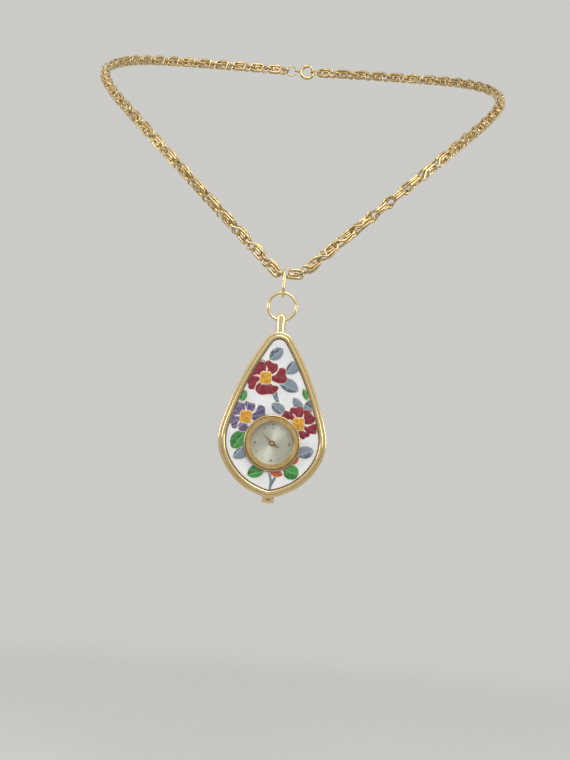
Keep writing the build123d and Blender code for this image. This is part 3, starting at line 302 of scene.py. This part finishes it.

# %% [markdown]
# The bezel is turned metal. Its fluted edge, and a fine line turned into the slope inside that
# edge, are painted dark brown as painted shade in their grooves. Both are rings round the dial's
# middle, so the distance from there says where the painted shade goes.

# %% Bezel finish
flutes_start, flutes_full = 8.30 * MM, 8.42 * MM
line_radius = 7.98 * MM
line_core, line_edge = 0.10 * MM, 0.20 * MM
painted_shade_share = 0.85
bezel_gold = gold_plate("bezel_gold", rich_gold, bronze_gold, roughness=0.18, patch=3.0 * MM)
across, _, up = bezel_gold.axes(dial_centre)
from_centre = distance(across, up)
shaded_flutes = from_centre.rise(flutes_start, flutes_full)
shaded_line = 1 - (from_centre - line_radius).size().rise(line_core, line_edge)
# painted shade: the fluted edge and the turned line are darkened towards brown in the base colour
painted_shade = shaded_flutes.math("MAXIMUM", shaded_line) * painted_shade_share
bezel_gold.set("Base Color", bezel_gold.mix(painted_shade, bezel_gold.so_far("Base Color"), painted_shade_brown))
print("bezel finish ready")

# %% [markdown]
# ## Steel, copper, plastic and rubber
# The inside of the watch is only seen with the back open. Its steel is drawn or milled, so the
# grain runs one way; the holder is a moulded plastic, the circuit board is green lacquer over
# copper, and the coil is thousands of turns of lacquered copper wire, which show as fine ribs. One
# function serves them all, because only the size, the direction and the depth of the grain differ.

# %% Inner finishes
grain_share = 0.6  # clouds make up the rest
clouds_to_grain = 12
tone_start, tone_end = 0.35, 0.68
tone_roughness = 0.12
grain_strength = 0.4


def grained(name, light, dark, roughness, grain, metallic=0.0, stretch=(1, 1, 1),
            depth=0.004 * MM):
    """A satin surface with a grain of the given size, which may run one way."""
    finish = Finish(name, Metallic=metallic)
    lines = finish.noise(grain, detail=3.0, stretch=stretch)
    clouds = finish.noise(grain * clouds_to_grain, detail=2.0)
    tone = (lines * grain_share + clouds * (1 - grain_share)).rise(tone_start, tone_end)
    finish.set("Base Color", finish.mix(tone, light, dark))
    finish.rough(tone, least=roughness, more=tone_roughness)
    return finish.bump(lines, depth, grain_strength)


steel = grained("brushed_steel", (0.72, 0.72, 0.71), (0.50, 0.50, 0.50), roughness=0.26,
                grain=0.12 * MM, metallic=1.0, stretch=(0.08, 1, 1))
copper = grained("copper_back", (0.72, 0.40, 0.26), (0.50, 0.25, 0.15), roughness=0.34,
                 grain=0.3 * MM, metallic=1.0)
coil_copper = grained("coil_lacquer", (0.62, 0.26, 0.10), (0.38, 0.13, 0.05), roughness=0.3,
                      grain=0.06 * MM, metallic=0.6, stretch=(1, 1, 0.1), depth=0.01 * MM)
holder_white = grained("holder_plastic", (0.80, 0.79, 0.74), (0.72, 0.71, 0.66), roughness=0.5,
                       grain=0.3 * MM)
wheel_white = grained("wheel_plastic", (0.86, 0.85, 0.80), (0.78, 0.77, 0.72), roughness=0.42,
                      grain=0.2 * MM)
board_green = grained("board_lacquer", (0.05, 0.22, 0.10), (0.03, 0.13, 0.06), roughness=0.3,
                      grain=0.25 * MM, stretch=(0.2, 1, 1))
gasket_black = grained("gasket_rubber", (0.03, 0.03, 0.03), (0.02, 0.02, 0.02), roughness=0.6,
                       grain=0.2 * MM)
print("inner finishes: 7")

# %% [markdown]
# ## The silvered dial
# A sunray dial is brushed from its centre outwards, and the fine lines throw the light into two
# opposite fans. Fine radial grooves in the bump do that; the fans are also painted into the base
# colour as a soft painted highlight, which shows even under flat light. The angle round the dial
# drives both.

# %% Dial finish
dial_shade, dial_shine = (0.50, 0.48, 0.41), (0.90, 0.89, 0.81)
rays_round = 40.0  # patches of noise in each radian round the dial
rays_outward = 60.0  # and in each metre outwards, so that they are long and narrow
fan_count = 2.0
fan_lean = radians(-68.0)
fan_narrow = 3.0
fan_share = 0.85  # the rays make up the rest
dial_silver = Finish("dial_silver", Metallic=0.2)
across, _, up = dial_silver.axes(dial_centre)
clock = up.math("ARCTAN2", across)
polar = dial_silver.node("ShaderNodeCombineXYZ", {}, {
    0: clock * rays_round, 1: distance(across, up) * rays_outward})
rays = dial_silver.node("ShaderNodeTexNoise", {"noise_dimensions": "2D"}, {
    "Vector": polar, "Scale": 1.0, "Detail": 2.0})
# painted highlight: two bright fans painted into the dial's base colour by the angle round it
painted_sunray_fan = ((clock + fan_lean) * fan_count).math("COSINE") * 0.5 + 0.5
tone = painted_sunray_fan ** fan_narrow * fan_share + rays * (1 - fan_share)
dial_silver.set("Base Color", dial_silver.mix(tone, dial_shade, dial_shine))
dial_silver.rough(rays, least=0.26, more=0.16)
dial_silver.bump(rays, depth=0.006 * MM, strength=0.5)
print("dial finish ready")

# %% [markdown]
# ## The flat crystal
# Mineral glass lets the dial through and adds a faint mirror. A thin sheet bends nothing, so a
# transparent shader mixed with a gloss is truer and quicker than refraction. The mirror grows with
# the fifth power of how edge-on the glass is, which holds for its back as well as for its front.

# %% Crystal finish
mirror_least = 0.03
mirror_growth = 0.9
mirror_power = 5.0
smear_mirror = 0.02
glass_tint = (0.97, 0.98, 0.97)
glass = Finish("crystal_glass")
clear = glass.node("ShaderNodeBsdfTransparent", {}, {"Color": opaque(glass_tint)})
gloss = glass.node("ShaderNodeBsdfGlossy", {}, {"Roughness": 0.02, "Color": (1, 1, 1, 1)})
smear = glass.noise(4.0 * MM, detail=2.0) * smear_mirror
edge_on = glass.node("ShaderNodeLayerWeight", {}, {"Blend": 0.5}, out="Facing")
mirror = edge_on ** mirror_power * mirror_growth + mirror_least + smear
both = glass.node("ShaderNodeMixShader", {}, {0: mirror, 1: clear, 2: gloss})
glass.put(glass.tree.nodes["Material Output"].inputs["Surface"], both)
print("crystal finish ready")

# %% [markdown]
# ## Dressing the solids
# Every solid keeps its shape and gets the finish of its metal or plastic. Names that share a
# finish are listed together.

# %% Finishes by piece
finishes = {
    chain_gold: """chain_left_front chain_left_side chain_left_back chain_right_front
        chain_right_side chain_right_back chain_bottom_link left_end_ring right_end_ring clasp_body
        clasp_tongue""",
    ring_gold: "bail jump_ring neck_post",
    case_gold: "case_frame hinge_pin back_cover",
    bezel_gold: "watch_bezel reflector_ring",
    hand_gold: "hour_hand minute_hand hour_markers hour_studs",
    movement_gold: "main_plate train_bridge centre_wheel cannon_pinion crown",
    steel: """movement_cup battery battery_strap quartz_can plate_screws setting_lever
        setting_stem clasp_spring stator coil_core""",
    copper: "plaque_plate",
    coil_copper: "coil",
    holder_white: "movement_holder",
    wheel_white: "hour_wheel minute_wheel intermediate_wheel rotor",
    board_green: "circuit_board",
    gasket_black: "crystal_gasket",
    dial_silver: "dial",
    glass: "crystal",
}


def wear(obj, finish):
    obj.data.materials.clear()
    obj.data.materials.append(finish.material)


for finish, names in finishes.items():
    for name in names.split():
        wear(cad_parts[name], finish)
print("dressed:", sum(len(names.split()) for names in finishes.values()), "solids")

# %% [markdown]
# ## The enamel picture
# Each petal and leaf is a cell: a fine gold wire bent to the outline, filled with coloured glass
# that stands a little lower at the wire and swells in the middle. The flat solid already has each
# cell's exact outline, cut where the rim and the watch cover it. So its front is lifted off as a
# sheet and divided finely. Each point then learns how far it is from the wire, its angle round the
# flower's heart, and how far it is from the leaf's midrib. The swelling follows from the first
# number, and the colours from all three.

# %% Lift the front of a solid
enamel_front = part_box("enamel_ground")[0][1]
weld = 0.01 * MM
flat_angle = radians(1)


def front_sheet(node):
    """The front faces of a flat solid as a fresh bmesh, one flat face for each outline."""
    sheet = bmesh.new()
    sheet.from_mesh(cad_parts[node].data)
    bmesh.ops.remove_doubles(sheet, verts=sheet.verts, dist=weld)
    low = min(v.co.y for v in sheet.verts)
    away = [f for f in sheet.faces if max(v.co.y for v in f.verts) > low + weld]
    bmesh.ops.delete(sheet, geom=away, context="FACES")
    bmesh.ops.dissolve_limit(sheet, angle_limit=flat_angle, verts=[], edges=sheet.edges)
    return sheet


print("enamel front at", round(enamel_front / MM, 2), "mm")

# %% Divide a sheet
outline_step = 0.06 * MM
most_rounds = 14


def outline_points(sheet):
    """Points along every free edge, close together."""
    points = []
    for edge in sheet.edges:
        if len(edge.link_faces) != 1:
            continue
        first, last = (v.co for v in edge.verts)
        count = max(1, round((last - first).length / outline_step))
        points += [first.lerp(last, i / count) for i in range(count)]
    return points


def divide(sheet, size):
    """Cuts every long edge until no edge is longer than the size."""
    bmesh.ops.triangulate(sheet, faces=sheet.faces)
    for _ in range(most_rounds):
        long_edges = [e for e in sheet.edges if e.calc_length() > size]
        if not long_edges:
            break
        bmesh.ops.subdivide_edges(sheet, edges=long_edges, cuts=1)
        bmesh.ops.triangulate(sheet, faces=[f for f in sheet.faces if len(f.verts) > 3])
        inner = [e for e in sheet.edges if len(e.link_faces) == 2]
        bmesh.ops.beautify_fill(sheet, faces=sheet.faces, edges=inner)


print("sheets can be divided")


# %% Make pieces
def add_mesh(name, sheet, finish):
    """Turns a bmesh into an object of the scene."""
    mesh = bpy.data.meshes.new(name)
    sheet.to_mesh(mesh)
    sheet.free()
    obj = bpy.data.objects.new(name, mesh)
    bpy.context.scene.collection.objects.link(obj)
    wear(obj, finish)
    return obj


def make_object(name, sheet, finish, body, slot, replaced=()):
    """Adds a smooth piece that moves with a body."""
    obj = add_mesh(name, sheet, finish)
    for face in obj.data.polygons:
        face.use_smooth = True
    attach(obj, body)
    if replaced:
        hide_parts(*replaced)
    print(name, len(obj.data.polygons), "faces")


print("pieces can be made")

# %% [markdown]
# Crimson is not one colour: the glass is thin over the pale edge, where it turns pink, and thick
# and dark in the middle, with faint veins that run out from the flower's heart. The leaves have a
# darker half and a lighter half with a pale midrib.

# %% Enamel finishes
cloud_size = 0.9 * MM
cloud_start, cloud_end = 0.35, 0.70
pale_share = 0.8  # how pale the glass gets at its wire
vein_count = 9.0  # in each radian round the flower's heart
vein_start, vein_full = 0.50, 0.75
rib_share = 0.7
rib_core, rib_edge = 0.03, 0.12  # from the midrib, in millimetres
half_edge = 0.15  # how far from the midrib the two halves still blend, in millimetres


def enamel(name, deep, middle, pale, edge, veins=0.0, halves=0.0):
    """Glass enamel that pales towards its wire, over an edge in millimetres."""
    finish = Finish(name, Coat_Weight=0.6, Coat_Roughness=0.04, IOR=1.5)
    rim = 1 - finish.attribute("from_wire").rise(0.0, edge)
    cloud = finish.noise(cloud_size, detail=3.0)
    body = finish.mix(cloud.rise(cloud_start, cloud_end), deep, middle)
    if veins:
        streak = finish.node("ShaderNodeTexNoise", {"noise_dimensions": "1D"}, {
            "W": finish.attribute("around") * vein_count, "Scale": 1.0, "Detail": 2.0})
        body = finish.mix(streak.rise(vein_start, vein_full) * veins, body, pale)
    if halves:
        side = finish.attribute("side")
        body = finish.mix(side.rise(-half_edge, half_edge) * halves, body, middle)
        rib = 1 - side.size().rise(rib_core, rib_edge)
        body = finish.mix(rib * rib_share, body, pale)
    finish.set("Base Color", finish.mix(rim * pale_share, body, pale))
    finish.rough(cloud, least=0.06, more=0.08)
    return finish.bump(cloud, depth=0.02 * MM, strength=0.25)


red_enamel = enamel("enamel_crimson", deep=(0.16, 0.003, 0.018), middle=(0.30, 0.008, 0.035),
                    pale=(0.70, 0.30, 0.34), edge=0.16, veins=0.25)
violet_enamel = enamel("enamel_violet", deep=(0.07, 0.05, 0.14), middle=(0.19, 0.14, 0.29),
                       pale=(0.60, 0.55, 0.68), edge=0.26, veins=0.6)
grey_enamel = enamel("enamel_grey_blue", deep=(0.05, 0.09, 0.15), middle=(0.22, 0.28, 0.34),
                     pale=(0.66, 0.72, 0.75), edge=0.16, halves=0.8)
green_enamel = enamel("enamel_leaf_green", deep=(0.012, 0.11, 0.02), middle=(0.06, 0.32, 0.07),
                      pale=(0.36, 0.62, 0.30), edge=0.2, halves=0.8)
orange_enamel = enamel("enamel_orange", deep=(0.42, 0.05, 0.015), middle=(0.60, 0.12, 0.04),
                       pale=(0.76, 0.36, 0.22), edge=0.22, veins=0.3)
stem_enamel = enamel("enamel_stem", deep=(0.10, 0.15, 0.22), middle=(0.24, 0.32, 0.40),
                     pale=(0.60, 0.66, 0.70), edge=0.16)
yellow_enamel = enamel("enamel_stamen", deep=(0.50, 0.19, 0.01), middle=(0.78, 0.42, 0.02),
                       pale=(0.90, 0.70, 0.20), edge=0.30, veins=0.6)
print("enamel finishes: 7")

# %% [markdown]
# The white ground between the cells is not quite even: it clouds a little, and fine pits from the
# firing show in its gloss.

# %% White ground
white_enamel = Finish("enamel_white", Coat_Weight=0.5, Coat_Roughness=0.05)
clean_white, dim_white = (0.83, 0.85, 0.86), (0.72, 0.74, 0.77)
haze_share = 0.7  # of the bump; the pits make up the rest
haze = white_enamel.noise(6.0 * MM, detail=3.0)
pits = white_enamel.noise(0.35 * MM, detail=2.0)
clouded = haze.rise(cloud_start, cloud_end)
white_enamel.set("Base Color", white_enamel.mix(clouded, clean_white, dim_white))
white_enamel.rough(pits, least=0.08, more=0.10)
uneven = haze * haze_share + pits * (1 - haze_share)
white_enamel.bump(uneven, depth=0.05 * MM, strength=0.4)
wear(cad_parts["enamel_ground"], white_enamel)
print("white ground ready")

# %% [markdown]
# ## Filling the cells
# A petal needs a direction for its veins: outwards from its flower's heart. A leaf needs its
# length, which is the line between its two farthest points.

# %% Cells
heart_places = ((-3.35, 19.7), (-8.45, 7.5), (7.57, 6.35))  # from the dial's middle, in millimetres
flower_hearts = [dial_centre + Vector((x, 0, z)) * MM for x, z in heart_places]
cell_edge = 0.22 * MM
swell = 0.16 * MM
swell_reach = 0.9 * MM
wire_sink = 0.05 * MM


def islands(sheet):
    """The separate groups of vertices in a sheet."""
    left = set(sheet.verts)
    while left:
        group = {left.pop()}
        waiting = list(group)
        while waiting:
            vert = waiting.pop()
            near = {e.other_vert(vert) for e in vert.link_edges} & left
            left -= near
            group |= near
            waiting += near
        yield sorted(group, key=lambda v: v.index)


def fill_cells(name, node, finish, slot):
    """Swollen enamel that stands for a flat solid."""
    sheet = front_sheet(node)
    border = outline_points(sheet)
    tree = KDTree(len(border))
    for i, point in enumerate(border):
        tree.insert(point, i)
    tree.balance()
    divide(sheet, cell_edge)
    sheet.verts.index_update()
    from_wire = sheet.verts.layers.float.new("from_wire")
    around = sheet.verts.layers.float.new("around")
    side = sheet.verts.layers.float.new("side")
    for group in islands(sheet):
        middle = sum((v.co for v in group), Vector()) / len(group)
        heart = min(flower_hearts, key=lambda h: (h - middle).length)
        tip = max(group, key=lambda v: (v.co - middle).length).co.copy()
        foot = max(group, key=lambda v: (v.co - tip).length).co.copy()
        length = (tip - foot).normalized()
        for vert in group:
            reach = tree.find(vert.co)[2]
            out = vert.co - heart
            vert[from_wire] = reach / MM
            vert[around] = atan2(out.z, out.x)
            vert[side] = length.cross(vert.co - foot).y / MM
            vert.co.y -= swell * min(1, reach / swell_reach) ** 0.5 - wire_sink
    bmesh.ops.recalc_face_normals(sheet, faces=sheet.faces)
    if sum(f.normal.y for f in sheet.faces) > 0:
        bmesh.ops.reverse_faces(sheet, faces=sheet.faces)
    make_object(name, sheet, finish, "pendant", slot, (node,))


cell_finishes = (
    ("red_petals", "enamel_red_petals", red_enamel, "enamel_red"),
    ("violet_petals", "enamel_violet_petals", violet_enamel, "enamel_violet"),
    ("grey_leaves", "enamel_grey_leaves", grey_enamel, "enamel_grey_blue"),
    ("green_leaves", "enamel_green_leaves", green_enamel, "enamel_green"),
    ("orange_blossom", "enamel_blossom", orange_enamel, "enamel_orange"),
    ("stems", "enamel_stems", stem_enamel, "enamel_grey_blue"),
    ("stamens", "enamel_stamens", yellow_enamel, "enamel_yellow"),
)
for name, node, finish, slot in cell_finishes:
    fill_cells(name, node, finish, slot)

# %% [markdown]
# ## The wires
# Cloisonné wire is a thin ribbon on its edge, and only its polished top shows, as a line no wider
# than a hair. A round wire of 0.12 mm, a third of it sunk in the enamel, looks the same. It
# follows each cell's outline as a curve with a bevel, which is then made a mesh.


# %% Round wire
def closed_loops(sheet):
    """The closed outlines of a sheet, as lists of points."""
    outline = [e for e in sheet.edges if len(e.link_faces) == 1]
    free = set(outline)
    for edge in outline:
        if edge not in free:
            continue
        free.discard(edge)
        start, vert = edge.verts
        loop = [start.co.copy()]
        while vert is not start:
            loop.append(vert.co.copy())
            edge = next((e for e in vert.link_edges if e in free), None)
            if edge is None:
                break
            free.discard(edge)
            vert = edge.other_vert(vert)
        yield loop


def bent_wire(runs, radius, rings=1, closed=True):
    """Round wire along runs of points, as one sheet."""
    curve = bpy.data.curves.new("bent_wire", "CURVE")
    curve.dimensions = "3D"
    curve.bevel_depth = radius
    curve.bevel_resolution = rings
    curve.use_fill_caps = not closed
    for run in runs:
        spline = curve.splines.new("POLY")
        spline.points.add(len(run) - 1)
        spline.use_cyclic_u = closed
        for point, place in zip(spline.points, run):
            point.co = (*place, 1)
    holder = bpy.data.objects.new("bent_wire", curve)
    sheet = bmesh.new()
    sheet.from_mesh(bpy.data.meshes.new_from_object(holder))
    bpy.data.objects.remove(holder)
    return sheet


print("wire can be bent")

# %% Wire outlines
wire_radius = 0.06 * MM
wire_y = enamel_front - wire_radius / 3
wire_runs = []
for _, node, _, _ in cell_finishes:
    sheet = front_sheet(node)
    wire_runs += [[(p.x, wire_y, p.z) for p in loop] for loop in closed_loops(sheet)]
    sheet.free()
make_object("cell_wires", bent_wire(wire_runs, wire_radius), wire_pale, "pendant", "gilt")

# %% [markdown]
# ## The chain's folds
# Each link's wire is folded once more before it reaches the next link. That fold is a round eye on
# both faces, in the gap between two spirals, and a strand along one edge. Every link is the same
# wire, so the fold is bent once, beside the bottom link, and copied to all the others.

# %% Bend one fold
fold_radius = 0.31 * MM
bight_inset = 0.35 * MM  # half of the link's own wire
link_low, link_high = (Vector(corner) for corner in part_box("chain_bottom_link"))
bight = (link_low + link_high) / 2
bight.x = link_low.x + bight_inset

eye_along, eye_half_length = 2.25 * MM, 1.12 * MM
eye_up, eye_half_height = 0.12 * MM, 1.22 * MM
eye_face = 0.88 * MM
eye_start, eye_step, eye_points = radians(-215), radians(12), 23
eye_turns = [eye_start + eye_step * i for i in range(eye_points)]
folds = [[bight + Vector((eye_along + eye_half_length * cos(turn), face * eye_face,
                          eye_up - eye_half_height * sin(turn))) for turn in eye_turns]
         for face in (-1, 1)]

strand_start, strand_length, strand_steps = 2.2 * MM, 4.4 * MM, 11
strand_drop, strand_bow = 1.30 * MM, 0.45 * MM
shares = [i / strand_steps for i in range(strand_steps + 1)]
folds.append([bight + Vector((strand_start + strand_length * share, 0,
                              -strand_drop - strand_bow * sin(pi * share))) for share in shares])
fold_sheet = bent_wire(folds, fold_radius, rings=2, closed=False)
fold_mesh = bpy.data.meshes.new("fold")
fold_sheet.to_mesh(fold_mesh)
fold_sheet.free()
print("one fold:", len(fold_mesh.polygons), "faces")

# %% [markdown]
# Three points of a link are enough to find where it has been turned to. The distance between two
# of them is compared first, so that a fold only goes where a link really is.

# %% Copy the fold to each link
span_slack = 0.01 * MM
link_points = [v.co.copy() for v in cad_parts["chain_bottom_link"].data.vertices]
point_count = len(link_points)
witnesses = [min(range(point_count), key=lambda i: link_points[i].x),
             max(range(point_count), key=lambda i: link_points[i].x),
             max(range(point_count), key=lambda i: link_points[i].z + link_points[i].y)]


def stance(first, second, third):
    """A frame that stands on three points."""
    along = (second - first).normalized()
    out = along.cross(third - first).normalized()
    return Matrix.Translation(first) @ Matrix((along, out.cross(along), out)).transposed().to_4x4()


link_span = (link_points[witnesses[1]] - link_points[witnesses[0]]).length
home = stance(*(link_points[i] for i in witnesses)).inverted()
for arm in ("right", "left"):
    arm_sheet = bmesh.new()
    for stretch in ("front", "side", "back"):
        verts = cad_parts[f"chain_{arm}_{stretch}"].data.vertices
        for start in range(0, len(verts) - point_count + 1, point_count):
            seen = [verts[start + i].co for i in witnesses]
            if abs((seen[1] - seen[0]).length - link_span) > span_slack:
                continue
            known = len(arm_sheet.verts)
            arm_sheet.from_mesh(fold_mesh)
            arm_sheet.verts.ensure_lookup_table()
            bmesh.ops.transform(arm_sheet, matrix=stance(*seen) @ home,
                                verts=arm_sheet.verts[known:])
    make_object(f"{arm}_folds", arm_sheet, chain_gold, "chain", "gold_chain")

# %% [markdown]
# ## The turned ring on the bezel
# A bright ring lies on the step between the bezel's fluted edge and its sloping front. A small
# circle is spun once round the dial's axis.

# %% Bezel ring
turned_radius, turned_wire = 8.34 * MM, 0.15 * MM
turned_proud = 0.62 * MM  # how far the ring stands before the enamel
turned_sides, turned_steps = 10, 120
ring_sheet = bmesh.new()
bmesh.ops.create_circle(ring_sheet, segments=turned_sides, radius=turned_wire,
                        matrix=Matrix.Translation((turned_radius, 0, 0)))
bmesh.ops.spin(ring_sheet, geom=ring_sheet.edges, cent=(0, 0, 0), axis=(0, 1, 0),
               angle=radians(360), steps=turned_steps, use_merge=True, use_duplicate=False)
bmesh.ops.translate(ring_sheet, verts=ring_sheet.verts,
                    vec=(dial_centre.x, enamel_front - turned_proud, dial_centre.z))
bmesh.ops.recalc_face_normals(ring_sheet, faces=ring_sheet.faces)
make_object("bezel_ring", ring_sheet, case_gold, "pendant", "gold_case")

# %% [markdown]
# ## The bead line and the groove of the rim
# A fine bead line closes the joint between the enamel and the rim. Its beads are dark bronze, as
# painted shade for the gap in that joint, so it shows as a row of bronze dots. The beads sit on
# the outline of the copper plate. The same outline, moved outwards, is the groove between the
# rim's two ridges, where a dark brown wire is laid as painted shade in the groove.

# %% Groove line
groove_out = 1.35 * MM
groove_deep = 0.5 * MM  # behind the front of the rim
groove_wire = 0.11 * MM
plate_sheet = front_sheet("plaque_plate")
rim_loop = max(closed_loops(plate_sheet),
               key=lambda loop: max(p.z for p in loop) - min(p.z for p in loop))
plate_sheet.free()
rim_middle = sum(rim_loop, Vector()) / len(rim_loop)
groove_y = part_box("case_frame")[0][1] + groove_deep
groove_run = []
for before, place, after in zip(
        rim_loop[-1:] + rim_loop[:-1], rim_loop, rim_loop[1:] + rim_loop[:1]):
    along = (after - before).normalized()
    outward = Vector((along.z, 0, -along.x))
    if outward.dot(place - rim_middle) < 0:
        outward.negate()
    moved = place + outward * groove_out
    groove_run.append((moved.x, groove_y, moved.z))
# painted shade: a dark wire laid in the groove between the rim's ridges
make_object("rim_groove_shade", bent_wire([groove_run], groove_wire), painted_shade_gold, "pendant", "gold_case")

# %% Bead line
bead_radius = 0.17 * MM
bead_pitch = 0.36 * MM
bead_sheet = bmesh.new()
to_next = 0.0
for first, last in zip(rim_loop, rim_loop[1:] + rim_loop[:1]):
    stride = (last - first).length
    while to_next < stride:
        spot = first.lerp(last, to_next / stride)
        bmesh.ops.create_icosphere(bead_sheet, subdivisions=2, radius=bead_radius,
                                   matrix=Matrix.Translation((spot.x, enamel_front, spot.z)))
        to_next += bead_pitch
    to_next -= stride
# painted shade: the beads are dark for the shadow gap between the rim and the enamel
make_object("rim_beads", bead_sheet, painted_shade_gold, "pendant", "gilt")

# %% [markdown]
# ## Floor, air and lamps
# The watch hangs above a plain pale floor, which fades into the air at its edge. Three soft panels
# light it: a large one above and in front, and a weaker one on each side, where the photograph
# shows the rim bright. Behind the watch the air is an even pale grey. In front of it, the air goes
# from bright above to brown below, and that is what the polished gold mirrors as bronze.

# %% Floor
floor_drop = 90 * MM
floor_half = 6.0
fade_start, fade_end = 0.10, 0.55
paper_dim, paper_light = (0.54, 0.535, 0.51), (0.57, 0.565, 0.54)
paper_patch = 0.4
floor_level = Vector(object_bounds()[0]).z - floor_drop
floor_sheet = bmesh.new()
bmesh.ops.create_grid(floor_sheet, x_segments=2, y_segments=2, size=floor_half,
                      matrix=Matrix.Translation((0, 0, floor_level)))
paper = Finish("floor_paper", Roughness=0.8)
paper.set("Base Color", paper.mix(paper.noise(paper_patch), paper_dim, paper_light))
floor_x, floor_y, _ = paper.axes()
paper.set("Alpha", 1 - distance(floor_x, floor_y).rise(fade_start, fade_end))
floor = add_mesh("floor", floor_sheet, paper)
print("floor at", round(floor_level, 3))

# %% Air
world = bpy.data.worlds.new("studio")
bpy.context.scene.world = world
world.use_nodes = True
air = Nodes(world.node_tree)
backdrop_grey = (0.60, 0.595, 0.57)
before_start, behind_end = -0.45, 0.35  # along the view, where one air gives way to the other
behind_stops = ((-0.9, (0.16, 0.13, 0.10)), (-0.35, backdrop_grey), (0.45, backdrop_grey),
                (0.95, (0.85, 0.85, 0.84)))
before_stops = ((-0.8, (0.06, 0.045, 0.03)), (-0.30, (0.34, 0.32, 0.29)),
                (0.10, (0.58, 0.565, 0.535)), (0.50, (0.90, 0.90, 0.88)))


def air_ramp(height, stops):
    """A colour for each height, from -1 straight down to 1 straight up."""
    from_below = [((place + 1) / 2, colour) for place, colour in stops]
    factor = height.rise(-1.0, 1.0, "LINEAR")
    return air.node("ShaderNodeValToRGB", {"stops": from_below}, {0: factor})


_, away, height = air.split(air.node("ShaderNodeTexCoord", out="Generated"))
around_us = air.mix(away.rise(before_start, behind_end, "LINEAR"),
                    air_ramp(height, before_stops), air_ramp(height, behind_stops))
air.put(air.tree.nodes["Background"].inputs["Color"], around_us)
print("air ready")

# %% Lamps
panels = (  # name, place from the dial, width in metres, power in watts
    ("key_panel", (0.10, -0.50, 0.50), 0.40, 2.0),
    ("right_panel", (0.60, -0.25, 0.12), 0.22, 0.8),
    ("left_panel", (-0.60, -0.20, 0.15), 0.22, 0.7),
)
for name, place, width, power in panels:
    lamp_data = bpy.data.lights.new(name, "AREA")
    lamp_data.size = width
    lamp_data.energy = power
    lamp = bpy.data.objects.new(name, lamp_data)
    lamp.location = dial_centre + Vector(place)
    lamp.rotation_euler = (-Vector(place)).to_track_quat("-Z", "Y").to_euler()
    bpy.context.scene.collection.objects.link(lamp)
bpy.context.scene.view_settings.view_transform = "Standard"
print("lamps:", len(panels))

# %% [markdown]
# ## The end
# Nothing that was added may make the watch larger than its solids.

# %% Finish
print("scene ready")
